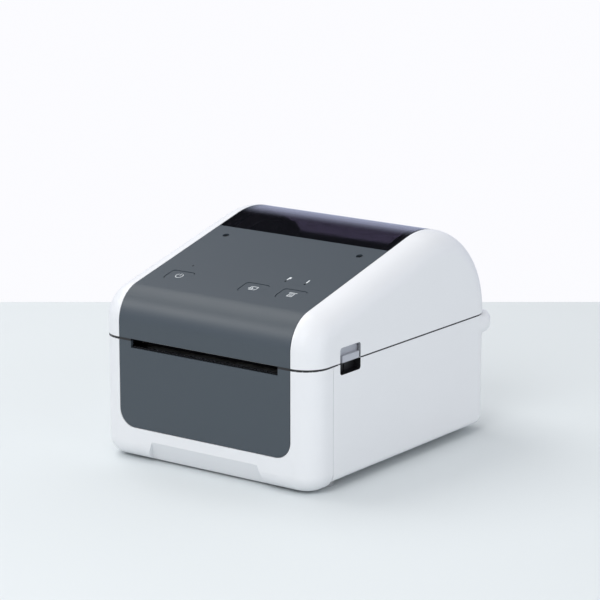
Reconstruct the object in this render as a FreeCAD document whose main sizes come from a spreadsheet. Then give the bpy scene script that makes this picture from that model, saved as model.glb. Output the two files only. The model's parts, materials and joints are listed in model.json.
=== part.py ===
import FreeCAD, Part
import math
import os
import re

import Sketcher

# A desktop thermal label printer: white lower case and cover, dark front and control
# panels, smoked window, and the roll holders, drive, print head and latch inside.
# +Z is up, the label comes out towards -Y, and the origin is under the middle of the box.

V = FreeCAD.Vector
doc = FreeCAD.newDocument("label_printer")
dims = doc.addObject("Spreadsheet::Sheet", "Dims")

# Driving dimensions, in millimetres and degrees

SIZES = {
    # Outside
    "case_width": 180,
    "body_depth": 213,
    "ledge_depth": 11,
    "cover_height": 67,
    "rim_gap": 1,
    "foot_height": 1.5,
    "case_lift": 5,
    "foot_radius": 5,
    "foot_inset": 14,
    "rear_foot_inset": 24,
    "front_foot_setback": 34,
    "rear_foot_setback": 18,
    "wall": 2.5,
    "edge_radius": 17,
    "crown_radius": 64.4,
    "brow_radius": 25,
    "slope_angle": 14.7,
    "seam_gap": 0.3,
    "fit_gap": 0.4,
    # Front of the lower case
    "bezel_depth": 22.8,
    "bezel_round": 12,
    "case_round": 4,
    "panel_width": 143.4,
    "panel_bottom": 24.4,
    "panel_corner": 12,
    "panel_seat": 5,
    "slot_width": 123.6,
    "slot_drop": 5.2,
    "grip_width": 89,
    "grip_height": 14.8,
    "grip_depth": 9,
    "grip_flare": 6,
    # Rear ledge and cover hinge
    "ledge_height": 15,
    "ledge_nose": 6,
    "hinge_back": 6.3,
    "hinge_drop": 5.5,
    "hinge_pin_radius": 1.5,
    "hinge_pin_length": 16,
    "knuckle_radius": 3.2,
    "arm_width": 8,
    "arm_spread": 60,
    "arm_height": 22,
    "arm_thickness": 5.5,
    "turn_gap": 0.05,
    "move_gap": 0.5,
    # Cover
    "split_setback": 111,
    "sill_rise": 33,
    "flange_width": 7,
    "liner_depth": 9,
    "liner_length": 96,
    # Control panel
    "button_length": 12.5,
    "button_width": 19,
    "button_corner": 2.5,
    "button_gap": 0.4,
    "button_skirt": 1,
    "button_sink": 0.25,
    "button_travel": 0.6,
    "button_row": 77,
    "power_x": -48.7,
    "feed_x": 14.5,
    "print_x": 45.7,
    "light_row": 61.5,
    "status_light_x": 29.9,
    "light_radius": 0.8,
    "panel_screw_x": 56.8,
    "panel_screw_row": 12.9,
    "screw_head_radius": 2,
    "screw_shank_radius": 1.2,
    "screw_head_height": 1.4,
    "screw_sink": 0.9,
    "board_thickness": 1.6,
    "switch_size": 6,
    "switch_height": 1.5,
    # Side levers and latch
    "lever_setback": 30.3,
    "lever_length": 23,
    "lever_height": 11,
    "lever_corner": 2,
    "lever_lip": 4.6,
    "lip_front_gap": 3.2,
    "lip_rear_gap": 1,
    "lever_thickness": 2,
    "well_depth": 5.5,
    "well_drop": 7.4,
    "latch_setback": 17.5,
    "latch_rise": 4.5,
    "latch_shaft_radius": 2,
    "hook_thickness": 3,
    "hook_width": 5,
    "hook_bite": 1.5,
    "latch_pin_radius": 1.5,
    "latch_pin_drop": 6.5,
    # Chassis and roll holders
    "plate_gap": 7,
    "plate_thickness": 3,
    "plate_flange": 2,
    "deck_height": 79,
    "rim_rise": 6,
    "roll_rise": 1,
    "trough_lift": 3,
    "trough_thickness": 2,
    "trough_drop": 12,
    "deck_thickness": 2,
    "roll_width": 118,
    "holder_clear": 5,
    "holder_thickness": 3,
    "hub_radius": 12,
    "hub_length": 8,
    "stem_width": 6,
    "rack_module": 1,
    "rack_teeth": 16,
    "rack_height": 5,
    "rack_bottom": 16,
    "rack_reach": 12,
    "tray_thickness": 1.7,
    "guide_setback": 22,
    "guide_module": 0.8,
    "guide_stem": 4,
    "guide_length": 34,
    "guide_thickness": 2,
    "guide_height": 5,
    "guide_rack_height": 4,
    "guide_rack_drop": 4.3,
    "dial_radius": 8,
    "dial_height": 1.5,
    "pivot_radius": 2,
    "sensor_setback": 38,
    "sensor_width": 12,
    "sensor_length": 6,
    "sensor_travel": 45,
    # Platen and drive
    "platen_setback": 19,
    "platen_radius": 8,
    "platen_width": 116,
    "platen_shaft_radius": 3,
    "nip_drop": 3,
    "bush_radius": 6,
    "bush_flange": 1,
    "drive_module": 0.8,
    "platen_teeth": 20,
    "idler_teeth": 40,
    "pinion_teeth": 16,
    "gear_width": 4,
    "gear_backlash": 0.16,
    "idler_angle": -55,
    "motor_angle": -25,
    "motor_size": 35,
    "motor_length": 26,
    "motor_shaft_radius": 2.5,
    "tear_bar_thickness": 1.2,
    "tear_rail_depth": 4.5,
    "tear_setback": 0.6,
    "tear_tooth": 3,
    "tear_tooth_depth": 1,
    # Print head
    "head_gap": 0.25,
    "head_depth": 16,
    "head_width": 112,
    "ceramic_thickness": 1,
    "heatsink_thickness": 4,
    "bracket_thickness": 2,
    "head_post_radius": 2,
    "head_post_spread": 36,
    "spring_wire": 0.8,
    "spring_length": 13,
    "carrier_thickness": 2,
    "cheek_depth": 32,
    # Electronics
    "board_lift": 1,
    "main_board_length": 136,
    "usb_width": 12,
    "usb_height": 11,
    "usb_depth": 16,
    "usb_x": 38,
    "jack_width": 10,
    "jack_height": 11,
    "jack_depth": 14,
    "jack_x": -38,
    "jack_bore": 3.2,
    "jack_pin_radius": 1,
    "socket_wall": 1.2,
    "case_screw_head": 3,
    "case_screw_shank": 1.2,
    "case_screw_length": 10,
    "case_screw_front": 20,
    "case_screw_rear": 30,
}

# Places worked out from the driving dimensions

PLACES = {
    "half_width": "case_width / 2",
    "front_y": "-(body_depth + ledge_depth) / 2",
    "rear_y": "front_y + body_depth",
    "ledge_y": "rear_y + ledge_depth",
    "rim_height": "deck_height + rim_rise",
    "total_height": "rim_height + cover_height",
    "case_bottom": "foot_height + case_lift",
    "floor_top": "case_bottom + wall",
    "cover_bottom": "rim_height + rim_gap",
    "window_sill": "rim_height + sill_rise",
    "crown_bend": "min(crown_radius, cover_height - 2 * rim_gap)",
    "crown_y": "rear_y - crown_bend",
    "crown_z": "total_height - crown_bend",
    "brow_z": "crown_z + crown_bend / cos(slope_angle) + (front_y - crown_y) * tan(slope_angle)",
    "brow_bend": "min(brow_radius, (brow_z - cover_bottom - rim_gap) / tan(45 - slope_angle / 2))",
    "seam_y": "front_y + bezel_depth",
    "split_y": "front_y + split_setback",
    "split_z": "crown_z + (crown_bend + (split_y - crown_y) * sin(slope_angle)) / cos(slope_angle)",
    "hinge_y": "rear_y + hinge_back",
    "hinge_z": "rim_height - hinge_drop",
    "plate_x": "roll_width / 2 + plate_gap",
    "plate_out_x": "plate_x + plate_thickness",
    "plate_front": "front_y + 2 * wall + fit_gap",
    "plate_back": "rear_y - wall - fit_gap",
    "tear_back": "plate_front + tear_rail_depth",
    "platen_y": "front_y + platen_setback",
    "nip_z": "rim_height - nip_drop",
    "platen_z": "nip_z - platen_radius",
    "gear_x": "-plate_out_x - move_gap - bush_flange - gear_width",
    "idler_reach": "drive_module * (platen_teeth + idler_teeth) / 2",
    "idler_y": "platen_y + idler_reach * cos(idler_angle)",
    "idler_z": "platen_z + idler_reach * sin(idler_angle)",
    "motor_reach": "drive_module * (idler_teeth + pinion_teeth) / 2",
    "motor_y": "idler_y + motor_reach * cos(motor_angle)",
    "motor_z": "idler_z + motor_reach * sin(motor_angle)",
    "roll_y": "crown_y",
    "roll_height": "rim_height + roll_rise",
    "rack_radius": "rack_module * rack_teeth / 2",
    "rack_top": "rack_bottom + rack_height",
    "trough_room": "roll_height - rack_top - trough_lift",
    "trough_radius": "min(trough_room, plate_back - roll_y) - trough_thickness",
    "trough_rear_top": "rim_height - trough_drop",
    "holder_radius": "trough_radius - holder_clear",
    "deck_back": "roll_y - sqrt(trough_radius^2 - (roll_height - deck_height)^2)",
    "guide_y": "deck_back - guide_setback",
    "guide_radius": "guide_module * rack_teeth / 2",
    "guide_rack_top": "deck_height - deck_thickness - guide_rack_drop",
    "guide_rack_bottom": "guide_rack_top - guide_rack_height",
    "sensor_y": "front_y + sensor_setback",
    "lever_y": "front_y + lever_setback",
    "lever_end": "lever_y + lever_length",
    "lever_in": "half_width - wall - lever_thickness - move_gap",
    "latch_shaft_end": "lever_in + lever_thickness / 2",
    "well_in": "half_width - wall - well_depth",
    "hook_x": "(plate_out_x + well_in - hook_thickness) / 2",
    "latch_y": "platen_y + latch_setback",
    "latch_z": "rim_height + latch_rise",
    "latch_pin_z": "rim_height - latch_pin_drop",
    "hook_front": "latch_y - hook_width / 2",
    "latch_pin_y": "hook_front - hook_bite - fit_gap - latch_pin_radius",
    "liner_in": "liner_depth + wall",
    "head_y": "platen_y - head_depth / 2",
    "ceramic_z": "nip_z + head_gap",
    "heatsink_z": "ceramic_z + ceramic_thickness",
    "bracket_z": "heatsink_z + heatsink_thickness",
    "spring_z": "bracket_z + bracket_thickness",
    "carrier_z": "spring_z + spring_length",
    "board_z": "floor_top + board_lift",
    "board_top": "board_z + board_thickness",
    "board_y": "rear_y - wall - move_gap - main_board_length",
}

for row, (alias, size) in enumerate(SIZES.items(), start=1):
    dims.set(f"A{row}", alias)
    dims.set(f"B{row}", str(size))
    dims.setAlias(f"B{row}", alias)
doc.recompute()

WORD = re.compile(r"[a-z_]+")


def expand(formula):
    """A formula in plain names as an expression on the cells of the sheet."""

    def swap(match):
        word = match.group(0)
        if word in PLACES:
            return "(" + expand(PLACES[word]) + ")"
        return "Dims." + word if word in SIZES else word

    return WORD.sub(swap, str(formula))


def number(formula):
    return float(dims.evalExpression(expand(formula)))


def bind(item, formulas):
    for name, formula in formulas.items():
        item.setExpression(name, expand(formula))
    return item


# Solids from primitives

def box(name, x, y, z):
    item = doc.addObject("Part::Box", name)
    ends = {"Length": x, "Width": y, "Height": z}
    formulas = {side: f"({high}) - ({low})" for side, (low, high) in ends.items()}
    formulas |= {f"Placement.Base.{a}": low for a, (low, high) in zip("xyz", (x, y, z))}
    return bind(item, formulas)


TURNS = {
    "x": FreeCAD.Rotation(V(0, 1, 0), 90),
    "y": FreeCAD.Rotation(V(1, 0, 0), -90),
    "z": FreeCAD.Rotation(),
}


def rod(name, axis, centre, radius, span):
    """A cylinder along a main axis; centre is its two other coordinates, in x, y, z order."""
    item = doc.addObject("Part::Cylinder", name)
    item.Placement = FreeCAD.Placement(V(), TURNS[axis])
    low, high = span
    across = dict(zip([a for a in "xyz" if a != axis], centre))
    places = {f"Placement.Base.{a}": f for a, f in {axis: low, **across}.items()}
    return bind(item, {"Radius": radius, "Height": f"({high}) - ({low})", **places})


def slope_place(item, x, back, depth):
    """Sits an item on the sloping panel: back along it from the split, depth below its face."""
    item.Placement = FreeCAD.Placement(V(), FreeCAD.Rotation(V(1, 0, 0), 1))
    return bind(item, {
        "Placement.Rotation.Angle": "slope_angle",
        "Placement.Base.x": x,
        "Placement.Base.y": f"split_y + ({back}) * cos(slope_angle) + ({depth}) * sin(slope_angle)",
        "Placement.Base.z": f"split_z + ({back}) * sin(slope_angle) - ({depth}) * cos(slope_angle)",
    })


def slope_box(name, x, back, depth):
    item = doc.addObject("Part::Box", name)
    (x_low, x_high), (near, far), (top, under) = x, back, depth
    bind(item, {
        "Length": f"({x_high}) - ({x_low})",
        "Width": f"({far}) - ({near})",
        "Height": f"({under}) - ({top})",
    })
    return slope_place(item, x_low, near, under)


def slope_rod(name, x, back, radius, depth):
    item = doc.addObject("Part::Cylinder", name)
    top, under = depth
    bind(item, {"Radius": radius, "Height": f"({under}) - ({top})"})
    return slope_place(item, x, back, under)


def join(name, *items):
    item = doc.addObject("Part::MultiFuse", name)
    item.Shapes = list(items)
    item.Refine = True
    return item


def cut(name, base, *tools):
    item = doc.addObject("Part::Cut", name)
    item.Base = base
    item.Tool = tools[0] if len(tools) == 1 else join(name + "_tools", *tools)
    item.Refine = True
    return item


def overlap(name, first, second):
    item = doc.addObject("Part::Common", name)
    item.Base = first
    item.Tool = second
    item.Refine = True
    return item


def mirror(name, item):
    copy = doc.addObject("Part::Mirroring", name)
    copy.Source = item
    copy.Normal = V(1, 0, 0)
    return copy


def tube(name, axis, centre, outer, inner, span):
    return cut(name, rod(name + "_outer", axis, centre, outer, span),
               rod(name + "_inner", axis, centre, inner, span))


def part_fillet(name, base, radius, chosen):
    """Rounds the edges of a primitive or boolean that the test picks."""
    doc.recompute()
    item = doc.addObject("Part::Fillet", name)
    item.Base = base
    size = number(radius)
    item.Edges = [(i, size, size) for i, e in enumerate(base.Shape.Edges, start=1) if chosen(e)]
    return item


# Solids from sketches

PLANES = {"yz": "YZ_Plane", "xy": "XY_Plane", "xz": "XZ_Plane"}


def outline_body(name, plane, corners):
    """A body with one closed sketch of straight runs, each corner bound to two formulas."""
    body = doc.addObject("PartDesign::Body", name)
    sketch = body.newObject("Sketcher::SketchObject", name + "_sketch")
    role = PLANES[plane]
    sketch.AttachmentSupport = ([f for f in body.Origin.OriginFeatures if f.Role == role][0], "")
    sketch.MapMode = "FlatFace"
    points = [V(number(u), number(v), 0) for u, v in corners]
    count = len(points)
    for i in range(count):
        sketch.addGeometry(Part.LineSegment(points[i], points[(i + 1) % count]))
    for i in range(count):
        sketch.addConstraint(Sketcher.Constraint("Coincident", i, 2, (i + 1) % count, 1))
    for i, corner in enumerate(corners):
        for kind, place, formula in zip(("DistanceX", "DistanceY"), points[i], corner):
            index = sketch.addConstraint(Sketcher.Constraint(kind, -1, 1, i, 1, place))
            sketch.setExpression(f"Constraints[{index}]", expand(formula))
    return body, sketch


def pad(body, sketch, length, start="0"):
    """A pad from start to start plus length along the sketch's normal."""
    feature = body.newObject("PartDesign::Pad", body.Name + "_pad")
    feature.Profile = sketch
    bind(feature, {"Length": length})
    bind(sketch, {"AttachmentOffset.Base.z": start})
    doc.recompute()
    return feature


def body_fillet(body, radius, chosen):
    """Rounds the edges of the body's last feature that the test picks."""
    base = body.Tip
    names = [f"Edge{i}" for i, e in enumerate(base.Shape.Edges, start=1) if chosen(e)]
    feature = body.newObject("PartDesign::Fillet", body.Name + "_fillet")
    feature.Base = (base, names)
    bind(feature, {"Radius": radius})
    doc.recompute()
    return feature


def prism(name, corners, x):
    """Straight-sided outline in Y and Z, drawn out along X."""
    body, sketch = outline_body(name, "yz", corners)
    low, high = x
    pad(body, sketch, f"({high}) - ({low})", low)
    return body


def along_x(edge):
    start, end = edge.Vertexes[0].Point, edge.Vertexes[-1].Point
    return edge.Curve.TypeId == "Part::GeomLine" and abs(start.x - end.x) > 1e-6


def on_plane(edge, axis, place):
    box_of = edge.BoundBox
    low, high = getattr(box_of, axis.upper() + "Min"), getattr(box_of, axis.upper() + "Max")
    return abs(low - place) < 1e-4 and abs(high - place) < 1e-4


def loaf(name, inset, bottom):
    """The cover's outer form taken in by inset: upright front, brow, slope, crown and back."""
    ridge = f"(crown_z + (crown_bend - ({inset})) / cos(slope_angle))"
    front, back = f"front_y + ({inset})", f"rear_y - ({inset})"
    corners = [
        (front, bottom),
        (front, f"{ridge} + ({front} - crown_y) * tan(slope_angle)"),
        (back, f"{ridge} + ({back} - crown_y) * tan(slope_angle)"),
        (back, bottom),
    ]
    half = f"half_width - ({inset})"
    body = prism(name, corners, (f"-({half})", half))
    low = number(bottom)
    at_front, at_back = number(front), number(back)
    body_fillet(body, f"brow_bend - ({inset})",
                lambda e: along_x(e) and on_plane(e, "y", at_front) and e.BoundBox.ZMin > low + 1)
    body_fillet(body, f"crown_bend - ({inset})",
                lambda e: along_x(e) and on_plane(e, "y", at_back) and e.BoundBox.ZMin > low + 1)
    side = number(half)
    body_fillet(body, f"edge_radius - ({inset})",
                lambda e: (on_plane(e, "x", side) or on_plane(e, "x", -side))
                and not on_plane(e, "z", low))
    return body


def tub_block(name, inset, bottom, top, foot_round, back="rear_y"):
    """Rounded block of the lower case, taken in by inset, with its foot edge rounded."""
    half = f"half_width - ({inset})"
    front, rear = f"front_y + ({inset})", f"{back} - ({inset})"
    corners = [(f"-({half})", front), (half, front), (half, rear), (f"-({half})", rear)]
    body, sketch = outline_body(name, "xy", corners)
    pad(body, sketch, f"({top}) - ({bottom})", bottom)
    low = number(bottom)
    body_fillet(body, f"edge_radius - ({inset})",
                lambda e: e.BoundBox.ZLength > 1 and e.BoundBox.XLength < 1e-4)
    body_fillet(body, foot_round, lambda e: on_plane(e, "z", low))
    return body


NODES = []


def node(name, item):
    item.Label = name
    NODES.append(item)
    return item


FAR = "2 * case_width"
EVERY_X = (f"-({FAR})", FAR)
EVERY_Y = EVERY_X
EVERY_Z = EVERY_X


# Front bezel: the white front of the lower case, with the panel's seat and the finger grip

bezel_half = box("bezel_half", EVERY_X, (f"-({FAR})", "seam_y - seam_gap / 2"), EVERY_Z)
bezel_outer = tub_block("bezel_outer", "0", "foot_height", "rim_height", "bezel_round")
bezel_inner = tub_block("bezel_inner", "wall", "foot_height + wall", "rim_height + wall",
                        "bezel_round - wall")
bezel_seat = cut(
    "bezel_seat",
    box("seat_outer", ("-panel_width / 2 - panel_seat", "panel_width / 2 + panel_seat"),
        ("front_y", "front_y + 2 * wall"), ("panel_bottom - panel_seat", "rim_height")),
    box("seat_hole", ("-panel_width / 2 + panel_seat", "panel_width / 2 - panel_seat"),
        EVERY_Y, ("panel_bottom + panel_seat", "rim_height + wall")),
)
grip_block = prism("grip_block", [
    ("front_y", "foot_height"),
    ("front_y", "foot_height + grip_height + 2 * wall"),
    ("front_y + 2 * wall", "foot_height + grip_height + 2 * wall"),
    ("front_y + grip_depth + 2 * wall", "foot_height"),
], ("-grip_width / 2 - grip_flare - wall", "grip_width / 2 + grip_flare + wall"))
bezel_riser = box("bezel_riser", EVERY_X, ("seam_y - seam_gap / 2 - wall", "seam_y"),
                  ("foot_height", "floor_top"))
bezel_solid = overlap("bezel_solid", bezel_outer, join(
    "bezel_mass", cut("bezel_skin", bezel_outer, bezel_inner), bezel_seat, grip_block, bezel_riser))


def front_plate(name, gap, y):
    """Upright plate of the front panel's outline, grown by gap, open at its upper edge."""
    plate = box(name + "_plate", (f"-panel_width / 2 - ({gap})", f"panel_width / 2 + ({gap})"), y,
                (f"panel_bottom - ({gap})", f"rim_height + ({gap})"))
    low = number(f"panel_bottom - ({gap})")
    return part_fillet(name, plate, f"panel_corner + ({gap})", lambda e: (
        e.BoundBox.YLength > 1e-3 and abs(e.BoundBox.ZMin - low) < 1e-4
        and e.BoundBox.XLength < 1e-4))


panel_hole = front_plate("panel_hole", "fit_gap", ("front_y - wall", "front_y + wall"))
grip_low, grip_high = "foot_height - wall", "foot_height + grip_height * (1 + wall / grip_depth)"
grip_wide = "grip_width / 2 + grip_flare * (1 + wall / grip_height)"
grip_narrow = "grip_width / 2 - grip_flare * wall / grip_depth"
grip_ends, grip_sketch = outline_body("grip_ends", "xz", [
    (f"-({grip_wide})", grip_low), (grip_wide, grip_low),
    (grip_narrow, grip_high), (f"-({grip_narrow})", grip_high)])
pad(grip_ends, grip_sketch, f"2 * ({FAR})", f"-({FAR})")
grip_cut = overlap("grip_cut", grip_ends, prism("grip_wedge", [
    ("front_y - wall", grip_low),
    ("front_y - wall", grip_high),
    ("front_y + grip_depth * (1 + wall / grip_height)", grip_low),
], (f"-({grip_wide})", grip_wide)))
slot_hole = box("slot_hole", ("-slot_width / 2", "slot_width / 2"),
                ("front_y - wall", "front_y + 3 * wall"), ("rim_height - slot_drop", "rim_height + wall"))
front_bezel = node("front_bezel", overlap("front_bezel", cut(
    "bezel_open", bezel_solid, panel_hole, grip_cut, slot_hole), bezel_half))

# Front panel: dark plate under the label slot

front_panel = node("front_panel", cut(
    "front_panel", front_plate("front_panel_blank", "0", ("front_y", "front_y + wall")), slot_hole))

# Lower case: white tub with the rear hinge ledge

case_outer = tub_block("case_outer", "0", "case_bottom", "rim_height", "case_round")
ledge_block = tub_block("ledge_block", "0", "rim_height - ledge_height", "rim_height",
                        "ledge_nose", "ledge_y")
ledge_top = number("rim_height")
ledge_end = number("ledge_y")
body_fillet(ledge_block, "ledge_nose", lambda e: on_plane(e, "z", ledge_top) and (
    e.BoundBox.YMax > ledge_end - number("edge_radius") + 1e-3) and e.BoundBox.YMin > 0)
ledge = overlap("ledge", ledge_block,
                box("ledge_zone", EVERY_X, ("rear_y - edge_radius", FAR), EVERY_Z))
case_inner = tub_block("case_inner", "wall", "floor_top", "rim_height + wall", "wall / 2")
case_rear = box("case_rear", EVERY_X, ("seam_y + seam_gap / 2", FAR), EVERY_Z)
case_shell = cut("case_shell", join("case_mass", case_outer, ledge), case_inner)
board_posts = [
    rod(f"board_post_{i}", "z", (x, y), "2 * wall - fit_gap", ("case_bottom + wall / 2", "board_z"))
    for i, (x, y) in enumerate(
        (x, y) for x in ("-plate_x / 2", "plate_x / 2")
        for y in ("board_y + 4 * wall", "rear_y - 12 * wall"))
]
hinge_slots = [
    box(f"hinge_slot_{i}", (f"{side} * arm_spread - arm_width / 2 - move_gap",
                            f"{side} * arm_spread + arm_width / 2 + move_gap"),
        ("rear_y - 2 * wall", "hinge_y + knuckle_radius + move_gap / 2"),
        ("hinge_z - knuckle_radius - move_gap", "rim_height + wall"))
    for i, side in enumerate((-1, 1))
]
hinge_bores = [
    rod(f"hinge_bore_{i}", "x", ("hinge_y", "hinge_z"), "hinge_pin_radius",
        (f"{side} * arm_spread - hinge_pin_length / 2", f"{side} * arm_spread + hinge_pin_length / 2"))
    for i, side in enumerate((-1, 1))
]


def lever_window(name, gap, z):
    """The lever's opening through both side walls, with rounded ends."""
    hole = box(name + "_box", EVERY_X, (f"lever_y - ({gap})", f"lever_end + ({gap})"), z)
    return part_fillet(name, hole, "lever_corner", lambda e: e.BoundBox.XLength > 1)


well_hole = lever_window("well_hole", "0", ("rim_height - well_drop", "rim_height + 2 * lever_height"))
usb_hole = box("usb_hole", ("usb_x - usb_width / 2 - fit_gap", "usb_x + usb_width / 2 + fit_gap"),
               ("rear_y - 2 * wall", "rear_y + wall"),
               ("board_top - fit_gap", "board_top + usb_height + fit_gap"))
jack_hole = box("jack_hole", ("jack_x - jack_width / 2 - fit_gap", "jack_x + jack_width / 2 + fit_gap"),
                ("rear_y - 2 * wall", "rear_y + wall"),
                ("board_top - fit_gap", "board_top + jack_height + fit_gap"))
screw_x = "plate_x + plate_thickness / 2"
screw_places = [(x, y) for x in (f"-({screw_x})", screw_x)
                for y in ("seam_y + case_screw_front", "rear_y - case_screw_rear")]
screw_sinks = [
    rod(f"screw_sink_{i}", "z", place, "case_screw_head + fit_gap", ("0", "case_bottom + wall / 2"))
    for i, place in enumerate(screw_places)
]
screw_holes = [
    rod(f"screw_hole_{i}", "z", place, "case_screw_shank", ("0", "case_bottom + case_screw_length"))
    for i, place in enumerate(screw_places)
]
lower_case = node("lower_case", overlap("lower_case", cut(
    "case_open", join("case_built", case_shell, *board_posts), *hinge_slots, *hinge_bores, well_hole,
    usb_hole, jack_hole, *screw_sinks, *screw_holes), case_rear))

case_screws = node("case_screws", join("case_screws", *[
    join(f"case_screw_{i}",
         rod(f"case_head_{i}", "z", place, "case_screw_head",
             ("case_bottom + fit_gap", "case_bottom + wall / 2")),
         rod(f"case_shank_{i}", "z", place, "case_screw_shank",
             ("case_bottom + wall / 2", "case_bottom + case_screw_length")))
    for i, place in enumerate(screw_places)
]))
hinge_pins = node("hinge_pins", join("hinge_pins", *[
    rod(f"hinge_pin_{i}", "x", ("hinge_y", "hinge_z"), "hinge_pin_radius",
        (f"{side} * arm_spread - hinge_pin_length / 2", f"{side} * arm_spread + hinge_pin_length / 2"))
    for i, side in enumerate((-1, 1))
]))

# Rubber feet

foot_places = [(f"{side} * (half_width - {inset})", y) for side in (-1, 1)
               for inset, y in (("foot_inset", "front_y + front_foot_setback"),
                                ("rear_foot_inset", "rear_y - rear_foot_setback"))]
feet = node("feet", join("feet", *[
    rod(f"foot_{i}", "z", place, "foot_radius", ("0", "case_bottom"))
    for i, place in enumerate(foot_places)
]))

# Finger wells behind the side openings of the lower case

well_outer = box("well_outer", ("well_in", "half_width - wall"),
                 ("lever_y - wall", "lever_end + wall"), ("rim_height - well_drop - wall", "rim_height"))
well_space = box("well_space", ("half_width - well_depth", "half_width"),
                 ("lever_y", "lever_end"), ("rim_height - well_drop", "rim_height + wall"))
finger_well_right = node("finger_well_right", cut("finger_well_right", well_outer, well_space))
finger_well_left = node("finger_well_left", mirror("finger_well_left", finger_well_right))

# Chassis side plates, which carry the platen, drive, latch pins and covers of the side bays

plate_web = prism("plate_web", [
    ("plate_front", "rim_height"),
    ("plate_front", "floor_top + bezel_round"),
    ("plate_front + bezel_round", "floor_top"),
    ("plate_back - bezel_round", "floor_top"),
    ("plate_back", "floor_top + bezel_round"),
    ("plate_back", "rim_height"),
], ("plate_x", "plate_out_x"))
inside_case = tub_block("inside_case", "wall + fit_gap", "floor_top", "rim_height", "case_round")
plate_top = cut(
    "plate_top",
    overlap("plate_flange", inside_case, box(
        "plate_flange_slab", ("plate_x", "half_width"), ("plate_front", "plate_back"),
        ("rim_height - plate_flange", "rim_height"))),
    box("well_room", ("well_in - fit_gap", FAR),
        ("lever_y - wall - fit_gap", "lever_end + wall + fit_gap"), EVERY_Z),
    box("hook_room", ("hook_x - move_gap", "hook_x + hook_thickness + move_gap"),
        ("latch_y - 2 * hook_width", "latch_y + 2 * hook_width"), EVERY_Z),
    rod("gear_room", "x", ("platen_y", "platen_z"), "drive_module * (platen_teeth / 2 + 1) + move_gap",
        ("plate_out_x", FAR)),
)
arm_room = box("arm_room", ("arm_spread - arm_width", "arm_spread + arm_width"),
               ("rear_y - 5 * wall", FAR), ("trough_rear_top", FAR))
bush_bore = rod("bush_bore", "x", ("platen_y", "platen_z"), "bush_radius", EVERY_X)
pin_bore = rod("pin_bore", "x", ("latch_pin_y", "latch_pin_z"), "latch_pin_radius", EVERY_X)
plate_mass = overlap("plate_mass", join("plate_whole", plate_web, plate_top), inside_case)
tear_room = box("tear_room", ("-slot_width / 2", "slot_width / 2"), (f"-({FAR})", "tear_back + fit_gap"),
                ("rim_height - slot_drop - fit_gap", FAR))
plate_blank = cut("plate_blank", plate_mass, arm_room, tear_room, bush_bore, pin_bore, *screw_holes)
side_plate_right = node("side_plate_right", plate_blank)
motor_hole = rod("motor_hole", "x", ("motor_y", "motor_z"), "motor_shaft_radius + 2 * move_gap", EVERY_X)
idler_hole = rod("idler_hole", "x", ("idler_y", "idler_z"), "pivot_radius", EVERY_X)
side_plate_left = node("side_plate_left", cut(
    "side_plate_left", mirror("plate_mirrored", plate_blank), motor_hole, idler_hole))

latch_pins = node("latch_pins", join("latch_pins", *[
    rod(f"latch_pin_{i}", "x", ("latch_pin_y", "latch_pin_z"), "latch_pin_radius", span)
    for i, span in enumerate((
        ("plate_x", "well_in - fit_gap"), ("fit_gap - well_in", "-plate_x")))
]))

# Trough that cradles the roll, and the deck that the label runs over

trough_cutters = [
    box("trough_front", EVERY_X, (f"-({FAR})", "roll_y"), ("deck_height", FAR)),
    box("trough_back", EVERY_X, ("roll_y", FAR), ("trough_rear_top", FAR)),
]
stem_slots = [
    box(f"stem_slot_{i}", x,
        (f"roll_y + {side} * (rack_radius + rack_module) - ({low})",
         f"roll_y + {side} * (rack_radius + rack_module) + ({high})"), ("0", "roll_height"))
    for i, (side, x, low, high) in enumerate((
        (-1, ("-plate_x", "-hub_length + move_gap"), "stem_width + move_gap", "move_gap"),
        (1, ("hub_length - move_gap", "plate_x"), "move_gap", "stem_width + move_gap")))
]
media_trough = node("media_trough", cut(
    "media_trough",
    rod("trough_outer", "x", ("roll_y", "roll_height"), "trough_radius + trough_thickness",
        ("-plate_x", "plate_x")),
    rod("trough_inner", "x", ("roll_y", "roll_height"), "trough_radius", EVERY_X),
    *trough_cutters, *stem_slots))

guide_slots = [
    box(f"guide_slot_{i}", x, (y, f"({y}) + guide_stem + 2 * move_gap"), EVERY_Z)
    for i, (x, y) in enumerate((
        (("-plate_x", "-hub_length + move_gap"),
         "guide_y - guide_radius - guide_module - guide_stem - move_gap"),
        (("hub_length - move_gap", "plate_x"), "guide_y + guide_radius + guide_module - move_gap")))
]
sensor_slot = box("sensor_slot", ("-sensor_travel - sensor_width / 2 - move_gap",
                                  "sensor_travel + sensor_width / 2 + move_gap"),
                  ("sensor_y - sensor_length / 2 - move_gap / 2",
                   "sensor_y + sensor_length / 2 + move_gap / 2"), EVERY_Z)
dial_hole = rod("dial_hole", "z", ("0", "guide_y"), "pivot_radius + turn_gap", EVERY_Z)
media_deck = node("media_deck", cut(
    "media_deck",
    box("deck_plate", ("-plate_x", "plate_x"),
        ("platen_y + platen_radius + 2 * move_gap", "deck_back - trough_thickness - fit_gap"),
        ("deck_height - deck_thickness", "deck_height")),
    *guide_slots, sensor_slot, dial_hole))


# Gears and racks

PRESSURE = math.radians(20)
ADDENDUM = 0.9
DEDENDUM = 1.15


def turn_to(radius, angle):
    return V(radius * math.cos(angle), radius * math.sin(angle), 0)


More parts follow.
